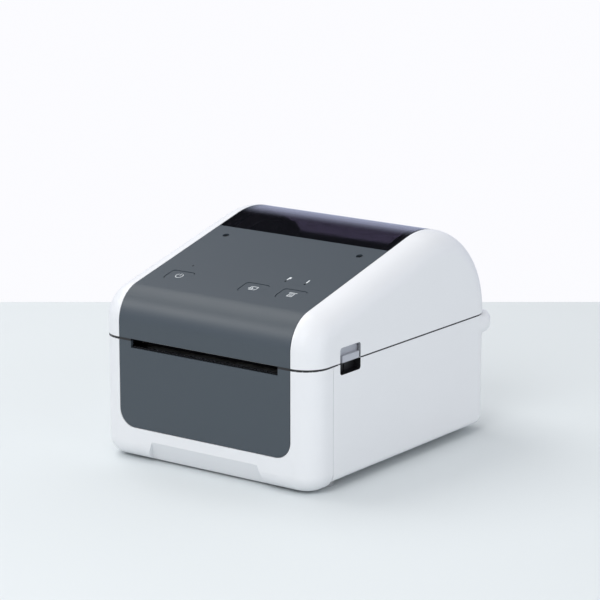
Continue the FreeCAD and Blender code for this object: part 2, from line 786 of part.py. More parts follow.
def gear_wire(teeth, module, backlash):
    """Closed outline of an involute gear with one tooth centred on the X axis."""
    pitch = module * teeth / 2
    base = pitch * math.cos(PRESSURE)
    tip = pitch + ADDENDUM * module
    root = pitch - DEDENDUM * module
    start = max(base, root)
    involute = math.tan(PRESSURE) - PRESSURE

    def half_angle(radius):
        slant = math.acos(base / radius)
        return math.pi / (2 * teeth) + involute - math.tan(slant) + slant - backlash / (2 * pitch)

    edges = []
    flank = (start, (start + tip) / 2, tip)
    step = 2 * math.pi / teeth
    for i in range(teeth):
        middle = i * step
        rise = [turn_to(r, middle - half_angle(r)) for r in flank]
        fall = [turn_to(r, middle + half_angle(r)) for r in reversed(flank)]
        foot_in = turn_to(root, middle - half_angle(start))
        foot_out = turn_to(root, middle + half_angle(start))
        next_in = turn_to(root, middle + step - half_angle(start))
        if start > root + 1e-6:
            edges.append(Part.LineSegment(foot_in, rise[0]).toShape())
        edges.append(Part.Arc(*rise).toShape())
        edges.append(Part.Arc(rise[2], turn_to(tip, middle), fall[0]).toShape())
        edges.append(Part.Arc(*fall).toShape())
        if start > root + 1e-6:
            edges.append(Part.LineSegment(fall[2], foot_out).toShape())
        edges.append(Part.Arc(foot_out, turn_to(root, middle + step / 2), next_in).toShape())
    return Part.Wire(edges)


def gear(name, teeth, module, width, bore, axis, place, phase):
    """A gear whose bore runs along X or Z; place is its low end and phase turns its first tooth."""
    wheel = Part.Face(gear_wire(teeth, module, number("gear_backlash"))).extrude(V(0, 0, width))
    wheel = wheel.cut(Part.makeCylinder(bore, width))
    item = doc.addObject("Part::Feature", name)
    item.Shape = wheel
    turn = FreeCAD.Rotation(V(1, 1, 1), 120) if axis == "x" else FreeCAD.Rotation()
    spin = FreeCAD.Rotation(V(0, 0, 1), phase)
    item.Placement = FreeCAD.Placement(V(*place), turn.multiply(spin))
    return item


def meshed_phase(teeth, line, driver_teeth, driver_phase):
    """Turn of a gear that meshes with a driver along a line at that angle, in degrees."""
    pitch = 360 / driver_teeth
    off = (driver_phase - line) % pitch
    return line + 180 + 180 / teeth - off * driver_teeth / teeth


def rack(name, module, width, height, x, y, bottom, side):
    """A straight rack along X with its pitch line at y, a gap at X zero, teeth facing side."""
    low, high = x
    pitch = math.pi * module
    slack = number("gear_backlash") / 4
    root, tip = DEDENDUM * module, ADDENDUM * module
    slant = math.tan(PRESSURE)
    at_root = pitch / 4 - slack + root * slant
    at_tip = pitch / 4 - slack - tip * slant
    points = [V(low, -root - width, 0), V(low, -root, 0)]
    first = math.ceil((low + at_root) / pitch - 0.5)
    last = math.floor((high - at_root) / pitch - 0.5)
    for k in range(first, last + 1):
        middle = (k + 0.5) * pitch
        points += [V(middle - at_root, -root, 0), V(middle - at_tip, tip, 0),
                   V(middle + at_tip, tip, 0), V(middle + at_root, -root, 0)]
    points += [V(high, -root, 0), V(high, -root - width, 0)]
    points = [V(p.x, y + side * p.y, bottom) for p in points]
    item = doc.addObject("Part::Feature", name)
    item.Shape = Part.Face(Part.makePolygon(points + points[:1])).extrude(V(0, 0, height))
    return item


# Roll holders: a disc and hub on each side, closing together through two racks and a pinion

rack_module = number("rack_module")
rack_teeth = int(number("rack_teeth"))
rack_span = number("roll_width / 2 + holder_thickness")


def roll_holder(name, side):
    """Disc, hub, stem and rack of one holder; side is -1 on the left and 1 on the right."""
    inner, outer = f"{side} * roll_width / 2", f"{side} * (roll_width / 2 + holder_thickness)"
    x = (outer, inner) if side < 0 else (inner, outer)
    hub_end = f"{side} * (roll_width / 2 - hub_length)"
    hub_x = (inner, hub_end) if side < 0 else (hub_end, inner)
    near = f"roll_y + {side} * (rack_radius + {DEDENDUM} * rack_module)"
    far = f"{near} + {side} * stem_width"
    y = (far, near) if side < 0 else (near, far)
    reach = (-rack_span, number("rack_reach")) if side < 0 else (-number("rack_reach"), rack_span)
    return join(
        name,
        rod(name + "_disc", "x", ("roll_y", "roll_height"), "holder_radius", x),
        rod(name + "_hub", "x", ("roll_y", "roll_height"), "hub_radius", hub_x),
        box(name + "_stem", x, y, ("rack_bottom", "roll_height")),
        rack(name + "_rack", rack_module, number("stem_width"), number("rack_height"), reach,
             number(f"roll_y + {side} * rack_radius"), number("rack_bottom"), -side),
    )


holder_left = node("holder_left", roll_holder("holder_left", -1))
holder_right = node("holder_right", roll_holder("holder_right", 1))
holder_pinion = node("holder_pinion", gear(
    "holder_pinion", rack_teeth, rack_module, number("rack_height"),
    number("pivot_radius + turn_gap"), "z", (0, number("roll_y"), number("rack_bottom")), 90))
rack_tray = node("rack_tray", join(
    "rack_tray",
    box("tray_plate", ("-plate_x", "plate_x"),
        ("roll_y - rack_radius - 2 * stem_width", "roll_y + rack_radius + 2 * stem_width"),
        ("rack_bottom - fit_gap / 2 - tray_thickness", "rack_bottom - fit_gap / 2")),
    rod("tray_post", "z", ("0", "roll_y"), "pivot_radius",
        ("rack_bottom - fit_gap - tray_thickness / 2", "rack_top + move_gap")),
))

# Label guides on the deck, closing together through two racks and the dial's pinion

guide_module = number("guide_module")


def label_guide(name, side):
    """Fence, stem and rack of one guide; side is -1 on the left and 1 on the right."""
    inner, outer = f"{side} * roll_width / 2", f"{side} * (roll_width / 2 + guide_thickness)"
    x = (outer, inner) if side < 0 else (inner, outer)
    near = f"guide_y + {side} * (guide_radius + {DEDENDUM} * guide_module)"
    far = f"{near} + {side} * guide_stem"
    y = (far, near) if side < 0 else (near, far)
    span = number("roll_width / 2 + guide_thickness")
    reach = (-span, number("rack_reach")) if side < 0 else (-number("rack_reach"), span)
    return join(
        name,
        box(name + "_fence", x, ("guide_y - guide_length / 2", "guide_y + guide_length / 2"),
            ("deck_height + fit_gap", "deck_height + guide_height")),
        box(name + "_stem", x, y, ("guide_rack_bottom", "deck_height + guide_height")),
        rack(name + "_rack", guide_module, number("guide_stem"), number("guide_rack_height"), reach,
             number(f"guide_y + {side} * guide_radius"), number("guide_rack_bottom"), -side),
    )


guide_left = node("guide_left", label_guide("guide_left", -1))
guide_right = node("guide_right", label_guide("guide_right", 1))
guide_dial = node("guide_dial", join(
    "guide_dial",
    rod("dial_knob", "z", ("0", "guide_y"), "dial_radius",
        ("deck_height + fit_gap / 2", "deck_height + dial_height")),
    rod("dial_stem", "z", ("0", "guide_y"), "pivot_radius",
        ("guide_rack_bottom", "deck_height + dial_height / 2")),
    gear("dial_pinion", rack_teeth, guide_module, number("guide_rack_height"), number("pivot_radius"), "z",
         (0, number("guide_y"), number("guide_rack_bottom")), 90),
))

# Black-mark sensor that slides across under the label

sensor_carriage = node("sensor_carriage", join(
    "sensor_carriage",
    box("sensor_block", ("-sensor_width / 2", "sensor_width / 2"),
        ("sensor_y - sensor_length / 2", "sensor_y + sensor_length / 2"),
        ("deck_height - 3 * deck_thickness", "deck_height + fit_gap / 4")),
    box("sensor_foot", ("-sensor_width / 2", "sensor_width / 2"),
        ("sensor_y - sensor_length", "sensor_y + sensor_length"),
        ("deck_height - 3 * deck_thickness", "deck_height - deck_thickness - fit_gap / 2")),
))

# Platen: steel shaft, rubber sleeve, bushes and drive gears

platen_at = ("platen_y", "platen_z")
platen_shaft = node("platen_shaft", rod(
    "platen_shaft", "x", platen_at, "platen_shaft_radius",
    ("gear_x", "plate_out_x + 2 * bush_flange")))
platen_sleeve = node("platen_sleeve", tube(
    "platen_sleeve", "x", platen_at, "platen_radius", "platen_shaft_radius",
    ("-platen_width / 2", "platen_width / 2")))
bush_bore_size = "platen_shaft_radius + turn_gap"
platen_bush_right = node("platen_bush_right", tube(
    "platen_bush_right", "x", platen_at, "bush_radius", bush_bore_size,
    ("plate_x", "plate_out_x + bush_flange")))
platen_bush_left = node("platen_bush_left", mirror("platen_bush_left", platen_bush_right))

drive_module = number("drive_module")
gear_width = number("gear_width")
gear_at = number("gear_x")
platen_teeth = int(number("platen_teeth"))
idler_teeth = int(number("idler_teeth"))
pinion_teeth = int(number("pinion_teeth"))
idler_line = number("idler_angle")
motor_line = number("motor_angle")
platen_phase = idler_line
idler_phase = meshed_phase(idler_teeth, idler_line, platen_teeth, platen_phase)
pinion_phase = meshed_phase(pinion_teeth, motor_line, idler_teeth, idler_phase)
platen_gear = node("platen_gear", gear(
    "platen_gear", platen_teeth, drive_module, gear_width, number("platen_shaft_radius"), "x",
    (gear_at, number("platen_y"), number("platen_z")), platen_phase))
idler_gear = node("idler_gear", gear(
    "idler_gear", idler_teeth, drive_module, gear_width, number("pivot_radius + turn_gap"), "x",
    (gear_at, number("idler_y"), number("idler_z")), idler_phase))
idler_post = node("idler_post", rod(
    "idler_post", "x", ("idler_y", "idler_z"), "pivot_radius", ("gear_x - 2 * move_gap", "-plate_x")))
motor_pinion = node("motor_pinion", gear(
    "motor_pinion", pinion_teeth, drive_module, gear_width, number("motor_shaft_radius"), "x",
    (gear_at, number("motor_y"), number("motor_z")), pinion_phase))
motor_shaft = node("motor_shaft", rod(
    "motor_shaft", "x", ("motor_y", "motor_z"), "motor_shaft_radius",
    ("gear_x", "-plate_x + motor_length / 2")))
drive_motor = node("drive_motor", cut(
    "drive_motor",
    part_fillet("motor_body", box(
        "motor_block", ("-plate_x", "-plate_x + motor_length"),
        ("motor_y - motor_size / 2", "motor_y + motor_size / 2"),
        ("motor_z - motor_size / 2", "motor_z + motor_size / 2")), "2 * wall",
        lambda e: e.BoundBox.XLength > 1),
    rod("motor_bore", "x", ("motor_y", "motor_z"), "motor_shaft_radius + turn_gap",
        ("-plate_x", "-plate_x + motor_length / 2 + 2 * move_gap"))))

# Tear bar across the foot of the label slot, its front edge cut into teeth

tear_half = number("slot_width / 2 - fit_gap")
tear_front = number("front_y + tear_setback")
tooth_pitch = 2 * tear_half / int(number("slot_width / tear_tooth"))
tooth_root = tear_front + number("tear_tooth_depth")
tear_points = [V(tear_half, number("tear_back"), 0), V(-tear_half, number("tear_back"), 0)]
for k in range(int(number("slot_width / tear_tooth"))):
    left = -tear_half + k * tooth_pitch
    tear_points += [V(left, tooth_root, 0), V(left + tooth_pitch / 2, tear_front, 0)]
tear_points += [V(tear_half, tooth_root, 0)]
tear_edge = doc.addObject("Part::Feature", "tear_edge")
tear_edge.Shape = Part.Face(Part.makePolygon(tear_points + tear_points[:1])).extrude(
    V(0, 0, number("tear_bar_thickness")))
tear_edge.Placement = FreeCAD.Placement(V(0, 0, number("rim_height - slot_drop")), FreeCAD.Rotation())
tear_bar = node("tear_bar", join("tear_bar", tear_edge, box(
    "tear_rail", ("-plate_x", "plate_x"), ("plate_front", "tear_back"),
    ("rim_height - slot_drop", "rim_height - slot_drop + tear_bar_thickness"))))

# Main board with its sockets, standing on the floor posts

main_board = node("main_board", box(
    "main_board", ("-plate_x + fit_gap", "plate_x - fit_gap"),
    ("board_y", "rear_y - wall - move_gap"), ("board_z", "board_top")))
usb_socket = node("usb_socket", cut(
    "usb_socket",
    box("usb_block", ("usb_x - usb_width / 2", "usb_x + usb_width / 2"),
        ("rear_y - wall / 2 - usb_depth", "rear_y - wall / 2"), ("board_top", "board_top + usb_height")),
    box("usb_mouth", ("usb_x - usb_width / 2 + socket_wall", "usb_x + usb_width / 2 - socket_wall"),
        ("rear_y - usb_depth + wall", "rear_y + wall"),
        ("board_top + socket_wall", "board_top + usb_height - socket_wall"))))
jack_at = ("jack_x", "board_top + jack_height / 2")
power_inlet = node("power_inlet", join(
    "power_inlet",
    cut("jack_body",
        box("jack_block", ("jack_x - jack_width / 2", "jack_x + jack_width / 2"),
            ("rear_y - wall / 2 - jack_depth", "rear_y - wall / 2"),
            ("board_top", "board_top + jack_height")),
        rod("jack_mouth", "y", jack_at, "jack_bore", ("rear_y - jack_depth + wall", "rear_y + wall"))),
    rod("jack_pin", "y", jack_at, "jack_pin_radius", ("rear_y - jack_depth", "rear_y - 2 * wall")),
))

# Cover: white shell, control panel and window cut from one rounded skin, on a dark rim behind the joints

skin_outer = loaf("skin_outer", "0", "cover_bottom")
skin_inner = loaf("skin_inner", "wall", "cover_bottom - wall")
flange_inner = loaf("flange_inner", "2 * wall", "cover_bottom - wall")
liner_outer = loaf("liner_outer", "liner_depth", "cover_bottom - wall")
liner_inner = loaf("liner_inner", "liner_in", "cover_bottom - 2 * wall")
skin = cut("skin", skin_outer, skin_inner)


def panel_zone(name, gap, back):
    """Everything between the two side shells, over a stretch along the slope."""
    return slope_box(name, (f"-panel_width / 2 - ({gap})", f"panel_width / 2 + ({gap})"), back,
                     (f"-({FAR})", FAR))


def above_sill(name, gap):
    return box(name, EVERY_X, EVERY_Y, (f"window_sill - ({gap})", FAR))


front_zone = panel_zone("front_zone", "0", (f"-({FAR})", "-seam_gap / 2"))
rear_zone = overlap("rear_zone", panel_zone("rear_zone_all", "0", ("seam_gap / 2", FAR)),
                    above_sill("window_zone", "0"))
opening = join("cover_opening", panel_zone("opening_front", "fit_gap", (f"-({FAR})", "0")),
               overlap("opening_rear", panel_zone("opening_rear_all", "fit_gap", ("0", FAR)),
                       above_sill("opening_zone", "fit_gap")))
flange_zone = cut(
    "flange_zone",
    box("flange_wide", ("-panel_width / 2 - flange_width / 2", "panel_width / 2 + flange_width / 2"),
        EVERY_Y, ("cover_bottom", FAR)),
    join("flange_hole",
         box("flange_hole_front", ("-panel_width / 2 + flange_width", "panel_width / 2 - flange_width"),
             (f"-({FAR})", "crown_y"), EVERY_Z),
         box("flange_hole_rear", ("-panel_width / 2 + flange_width", "panel_width / 2 - flange_width"),
             EVERY_Y, ("window_sill + flange_width", FAR)),
         box("flange_hole_low", EVERY_X, ("crown_y", FAR), (f"-({FAR})", "window_sill - flange_width"))),
)
lever_hole = lever_window("lever_hole", "0", ("cover_bottom - 4 * wall", "rim_height + lever_height"))
cover_shell = node("cover_shell", cut("cover_shell", cut("shell_skin", skin, opening), lever_hole))

button_centres = {"power_button": "power_x", "feed_button": "feed_x", "print_button": "print_x"}


def button_block(name, x, gap, depth):
    """Rounded block of a button's outline, grown by gap, between two depths under the panel."""
    block = slope_box(
        name + "_block", (f"{x} - button_width / 2 - ({gap})", f"{x} + button_width / 2 + ({gap})"),
        (f"-button_row - button_length / 2 - ({gap})", f"-button_row + button_length / 2 + ({gap})"), depth)
    doc.recompute()
    normal = block.Placement.Rotation.multVec(V(0, 0, 1))

    def along_normal(edge):
        run = edge.Vertexes[-1].Point.sub(edge.Vertexes[0].Point)
        return run.cross(normal).Length < 1e-6

    return part_fillet(name, block, "button_corner", along_normal)


light_places = [("power_x", "-light_row"), ("status_light_x", "-light_row"), ("print_x", "-light_row")]
screw_rows = [("-panel_screw_x", "-panel_screw_row"), ("panel_screw_x", "-panel_screw_row")]
panel_cuts = [
    button_block(name + "_hole", x, "button_gap", ("-wall", "liner_depth"))
    for name, x in button_centres.items()
] + [
    button_block(name + "_skirt_room", x, "3 * button_gap", ("wall + turn_gap / 2", "liner_depth"))
    for name, x in button_centres.items()
] + [
    slope_rod(f"light_hole_{i}", x, back, "light_radius", ("-wall", "2 * wall"))
    for i, (x, back) in enumerate(light_places)
] + [
    slope_rod(f"panel_screw_sink_{i}", x, back, "screw_head_radius + button_gap",
              ("-wall", "screw_sink + screw_head_height"))
    for i, (x, back) in enumerate(screw_rows)
] + [
    slope_rod(f"panel_screw_hole_{i}", x, back, "screw_shank_radius", ("-wall", "2 * wall"))
    for i, (x, back) in enumerate(screw_rows)
]
panel_posts = [
    slope_rod(f"panel_post_{i}", x, back, "2 * screw_head_radius", ("wall / 2", "liner_depth"))
    for i, (x, back) in enumerate(screw_rows)
]
control_panel = node("control_panel", cut(
    "control_panel", join("panel_built", overlap("panel_skin", skin, front_zone), *panel_posts), *panel_cuts,
    *[slope_rod(f"panel_thread_{i}", x, back, "screw_shank_radius", ("0", "liner_depth"))
      for i, (x, back) in enumerate(screw_rows)]))
window = node("window", overlap("window", skin, rear_zone))
rim_cuts = [
    button_block(name + "_rim_room", x, "3 * button_gap", ("0", "liner_depth"))
    for name, x in button_centres.items()
] + [
    slope_rod(f"panel_post_room_{i}", x, back, "2 * screw_head_radius + fit_gap", ("0", "liner_depth"))
    for i, (x, back) in enumerate(screw_rows)
] + [
    box(f"arm_rim_room_{i}", (f"{side} * arm_spread - arm_width / 2 - fit_gap",
                              f"{side} * arm_spread + arm_width / 2 + fit_gap"),
        ("crown_y", FAR), ("cover_bottom", "cover_bottom + arm_height + fit_gap"))
    for i, side in enumerate((-1, 1))
]
cover_rim = node("cover_rim", cut(
    "cover_rim", overlap("rim_shape", cut("flange_layer", skin_inner, flange_inner), flange_zone), *rim_cuts))

panel_screws = node("panel_screws", join("panel_screws", *[
    join(f"panel_screw_{i}",
         slope_rod(f"panel_head_{i}", x, back, "screw_head_radius",
                   ("screw_sink", "screw_sink + screw_head_height")),
         slope_rod(f"panel_shank_{i}", x, back, "screw_shank_radius",
                   ("screw_sink + screw_head_height", "liner_depth")))
    for i, (x, back) in enumerate(screw_rows)
]))

# Buttons with a skirt under the panel, light pipes, and the switch board they work on

board_depth = "wall + button_skirt + button_travel + switch_height + turn_gap"
for name, x in button_centres.items():
    node(name, join(
        name,
        button_block(name + "_cap", x, "0", ("button_sink", "wall + button_skirt / 2")),
        button_block(name + "_skirt", x, "2 * button_gap", ("wall + turn_gap", "wall + button_skirt"))))
light_pipes = node("light_pipes", join("light_pipes", *[
    slope_rod(f"light_pipe_{i}", x, back, "light_radius", ("0", board_depth))
    for i, (x, back) in enumerate(light_places)
]))
switch_board = node("switch_board", join(
    "switch_board",
    slope_box("switch_plate", ("-panel_screw_x", "panel_screw_x"),
              ("-button_row - button_length", "-light_row + 2 * wall"),
              (board_depth, f"{board_depth} + board_thickness")),
    *[slope_box(f"switch_{name}", (f"{x} - switch_size / 2", f"{x} + switch_size / 2"),
                ("-button_row - switch_size / 2", "-button_row + switch_size / 2"),
                (f"{board_depth} - switch_height", board_depth))
      for name, x in button_centres.items()],
    *[slope_box(f"board_stay_{i}", (f"{x} - wall", f"{x} + wall"),
                ("-button_row - wall", "-button_row + wall"), (board_depth, "liner_depth"))
      for i, x in enumerate(("-panel_screw_x + 2 * wall", "0", "panel_screw_x - 2 * wall"))]))

# Liner under the control panel, with the carrier of the print head

liner_zone = overlap("liner_zone",
                     box("liner_box", ("-plate_out_x", "plate_out_x"), EVERY_Y, ("carrier_z", FAR)),
                     slope_box("liner_reach", EVERY_X, ("-2 * liner_length", "-panel_screw_row / 2"),
                               (f"-({FAR})", FAR)))
post_places = [(f"{side} * head_post_spread", "platen_y") for side in (-1, 1)]
cover_liner = node("cover_liner", cut(
    "cover_liner", overlap("liner_shape", cut("liner_skin", liner_outer, liner_inner), liner_zone),
    *[rod(f"post_room_{i}", "z", place, "2 * head_post_radius", EVERY_Z)
      for i, place in enumerate(post_places)]))
cheek = box("cheek", ("plate_x", "plate_out_x"), ("front_y + liner_in", "front_y + liner_in + cheek_depth"),
            ("rim_height + 2 * rim_gap", FAR))
cheek_right = overlap("cheek_right", cheek, liner_inner)
carrier_plate = overlap("carrier_plate", liner_inner, box(
    "carrier_slab", ("-plate_out_x", "plate_out_x"),
    ("front_y + liner_in", "latch_y - 2 * latch_shaft_radius"),
    ("carrier_z", "carrier_z + carrier_thickness")))
head_carrier = node("head_carrier", cut(
    "head_carrier", join("carrier_built", cheek_right, mirror("cheek_left", cheek_right), carrier_plate),
    rod("latch_bore", "x", ("latch_y", "latch_z"), "latch_shaft_radius + turn_gap", EVERY_X),
    *[rod(f"post_bore_{i}", "z", place, "head_post_radius + turn_gap", EVERY_Z)
      for i, place in enumerate(post_places)]))

# Print head: ceramic strip, heatsink and bracket on two sprung posts

head_y = ("head_y", "head_y + head_depth")
print_head = node("print_head", box(
    "print_head", ("-head_width / 2", "head_width / 2"), head_y, ("ceramic_z", "heatsink_z")))
head_heatsink = node("head_heatsink", box(
    "head_heatsink", ("-head_width / 2", "head_width / 2"), head_y, ("heatsink_z", "bracket_z")))
head_bracket = node("head_bracket", join(
    "head_bracket",
    box("bracket_plate", ("-head_width / 2 - wall", "head_width / 2 + wall"), head_y,
        ("bracket_z", "spring_z")),
    *[rod(f"head_post_{i}", "z", place, "head_post_radius", ("spring_z - bracket_thickness / 2",
                                                            "carrier_z + carrier_thickness + move_gap"))
      for i, place in enumerate(post_places)]))
for side, place in zip(("left", "right"), post_places):
    node("head_spring_" + side, tube(
        "head_spring_" + side, "z", place, "head_post_radius + turn_gap + 2 * spring_wire",
        "head_post_radius + turn_gap", ("spring_z", "carrier_z")))

# Latch: cross shaft, two hooks and the two side levers

latch_at = ("latch_y", "latch_z")
shaft_span = ("-latch_shaft_end", "latch_shaft_end")
latch_shaft = node("latch_shaft", rod("latch_shaft", "x", latch_at, "latch_shaft_radius", shaft_span))
hook_tip = "latch_pin_z - latch_pin_radius - fit_gap"
hook_right = node("latch_hook_right", cut(
    "latch_hook_right",
    join("hook_mass",
         prism("hook_arm", [
             ("hook_front", "latch_z"),
             ("latch_y + hook_width / 2", "latch_z"),
             ("latch_y + hook_width / 2", f"{hook_tip} - hook_width / 2"),
             ("hook_front", f"{hook_tip} - hook_width / 2"),
             ("hook_front - hook_bite", f"{hook_tip} - hook_bite / 2"),
             ("hook_front - hook_bite", hook_tip),
             ("hook_front", hook_tip),
         ], ("hook_x", "hook_x + hook_thickness")),
         rod("hook_hub", "x", latch_at, "hook_width", ("hook_x", "hook_x + hook_thickness"))),
    rod("hook_bore", "x", latch_at, "latch_shaft_radius", EVERY_X)))
node("latch_hook_left", mirror("latch_hook_left", hook_right))
lever_right = node("release_lever_right", cut(
    "release_lever_right",
    join("lever_mass",
         box("lever_plate", ("lever_in", "lever_in + lever_thickness"),
             ("lever_y - wall", "lever_end + wall"),
             ("rim_height + 3 * move_gap", "rim_height + lever_height + wall")),
         box("lever_lip", ("lever_in", "half_width - move_gap"),
             ("lever_y + lip_front_gap", "lever_end - lip_rear_gap"),
             ("rim_height + fit_gap", "rim_height + fit_gap + lever_lip"))),
    rod("lever_bore", "x", latch_at, "latch_shaft_radius", shaft_span)))
node("release_lever_left", mirror("release_lever_left", lever_right))
latch_spring = node("latch_spring", tube(
    "latch_spring", "x", latch_at, "latch_shaft_radius + turn_gap + 2 * spring_wire",
    "latch_shaft_radius + turn_gap", ("plate_x - spring_length", "plate_x")))

# Hinge arms from the cover's back wall to the hinge pins

arm_x = ("arm_spread - arm_width / 2", "arm_spread + arm_width / 2")
arm_front = "rear_y - wall - arm_thickness"
neck_top = "cover_bottom - fit_gap"
neck_step = "hinge_y - hinge_drop - move_gap"
arm_upright = overlap("arm_upright", skin_inner, box(
    "arm_block", arm_x, (arm_front, "rear_y"), (neck_top, "cover_bottom + arm_height")))
arm_neck = prism("arm_neck", [
    (arm_front, "hinge_z"),
    (arm_front, neck_top),
    (neck_step, neck_top),
    (neck_step, "hinge_z + knuckle_radius"),
    ("hinge_y", "hinge_z + knuckle_radius"),
    ("hinge_y", "hinge_z"),
], arm_x)
hinge_arm_right = node("hinge_arm_right", cut(
    "hinge_arm_right",
    join("arm_mass", arm_upright, arm_neck,
         rod("knuckle", "x", ("hinge_y", "hinge_z"), "knuckle_radius", arm_x)),
    rod("knuckle_bore", "x", ("hinge_y", "hinge_z"), "hinge_pin_radius + turn_gap", EVERY_X)))
hinge_arm_left = node("hinge_arm_left", mirror("hinge_arm_left", hinge_arm_right))

# Check and write every piece

doc.recompute()
broken = [o.Name for o in doc.Objects if {"Invalid", "Error"} & set(o.State)]
broken += [o.Label for o in NODES if o.Shape.isNull() or not o.Shape.isValid() or not o.Shape.Solids]
if broken:
    raise RuntimeError("these pieces failed: " + ", ".join(broken))
os.makedirs("parts", exist_ok=True)
for item in NODES:
    item.Shape.exportStep(os.path.join("parts", item.Label + ".step"))
print(len(NODES), "pieces written")
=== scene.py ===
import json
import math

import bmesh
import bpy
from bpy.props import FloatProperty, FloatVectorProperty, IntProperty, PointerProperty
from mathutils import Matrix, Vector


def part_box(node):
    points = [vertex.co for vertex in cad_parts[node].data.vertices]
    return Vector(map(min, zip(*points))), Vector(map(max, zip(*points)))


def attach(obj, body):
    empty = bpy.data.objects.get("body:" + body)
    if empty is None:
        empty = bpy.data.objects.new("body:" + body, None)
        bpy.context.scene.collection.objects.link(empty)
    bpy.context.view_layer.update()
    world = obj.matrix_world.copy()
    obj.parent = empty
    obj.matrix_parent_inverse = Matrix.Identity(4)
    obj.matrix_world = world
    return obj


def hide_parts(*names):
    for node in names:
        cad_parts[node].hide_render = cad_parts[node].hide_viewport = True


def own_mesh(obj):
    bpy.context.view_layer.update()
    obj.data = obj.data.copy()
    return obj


bl_info = {
    "name": "Label printer finish",
    "version": (1, 0, 0),
    "blender": (4, 5, 0),
    "location": "View3D > Sidebar > Label printer",
    "description": "Finishes, fittings and studio for a desktop thermal label printer",
    "category": "Object",
}

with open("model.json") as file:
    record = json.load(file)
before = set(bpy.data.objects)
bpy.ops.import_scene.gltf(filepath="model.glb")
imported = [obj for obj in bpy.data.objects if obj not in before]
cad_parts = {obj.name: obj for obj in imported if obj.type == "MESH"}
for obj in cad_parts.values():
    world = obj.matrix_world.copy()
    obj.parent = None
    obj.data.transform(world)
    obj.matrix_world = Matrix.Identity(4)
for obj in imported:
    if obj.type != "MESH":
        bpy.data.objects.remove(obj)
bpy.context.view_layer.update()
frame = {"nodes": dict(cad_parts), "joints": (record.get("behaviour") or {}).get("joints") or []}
NODES = frame["nodes"]
JOINTS = {joint["name"]: joint for joint in frame["joints"]}

ACROSS = Vector((1, 0, 0))
BACK = Vector((0, 1, 0))
UP = Vector((0, 0, 1))

# The sloping control panel: the buttons press straight into it
PANEL_IN = Vector(JOINTS["power_press"]["axis"])
PANEL_OUT = -PANEL_IN
PANEL_BACK = Vector((0, -PANEL_IN.z, PANEL_IN.y))

# CAD points within WELD are one point, and drawn points within HAIR; an edge that turns more than
# CREASE stays crisp
WELD = 0.00002
HAIR = 1e-7
CREASE = math.radians(32)

# Steps of the rounded shapes
EDGE_STEPS = 2
BEAD_STEPS = 6
OPENING_STEPS = 8
CASE_STEPS = 12
CROWN_STEPS = 40
ROUND_STEPS = 96


# Property helpers

def colour(name, words, value):
    return FloatVectorProperty(
        name=name, description=words, subtype="COLOR", size=3, min=0, max=1, default=value)


def length(name, words, value):
    return FloatProperty(
        name=name, description=words, subtype="DISTANCE", unit="LENGTH", default=value, precision=5)


def spot(name, words, value):
    return FloatVectorProperty(
        name=name, description=words, subtype="TRANSLATION", unit="LENGTH", default=value)


def span(name, words, value):
    return FloatVectorProperty(
        name=name, description=words, subtype="XYZ_LENGTH", size=2, default=value)


def angle(name, words, degrees):
    return FloatProperty(
        name=name, description=words, subtype="ANGLE", default=math.radians(degrees))


def power(name, words, value):
    return FloatProperty(name=name, description=words, unit="POWER", default=value)


def factor(name, words, value):
    return FloatProperty(name=name, description=words, default=value)


def count(name, words, value):
    return IntProperty(name=name, description=words, default=value)


class PrinterFinish(bpy.types.PropertyGroup):
    """Colours of the plastics, marks and boards"""

    shell: colour("Shell", "White of the case and cover", (0.80, 0.815, 0.835))
    slate: colour("Slate", "Dark grey of the front and control panels", (0.050, 0.066, 0.081))
    smoke: colour("Smoke", "Tint of the window", (0.29, 0.25, 0.295))
    lever: colour("Lever", "Grey of the release levers", (0.44, 0.46, 0.51))
    foot: colour("Foot", "Grey of the rubber feet", (0.36, 0.37, 0.38))
    black: colour("Black", "Black of the inner mouldings", (0.008, 0.008, 0.009))
    bay: colour("Bay", "Dark grey of the roll bay", (0.045, 0.046, 0.050))
    guide: colour("Guide", "Grey of the label guides", (0.25, 0.26, 0.28))
    acetal: colour("Acetal", "Cream of the gears and bushes", (0.68, 0.66, 0.58))
    print_white: colour("Print", "White of the button marks", (0.80, 0.84, 0.86))
    board: colour("Board", "Green of the circuit boards", (0.010, 0.085, 0.035))
    grain_size: length("Grain", "Size of the moulded grain on the shells", 0.0006)


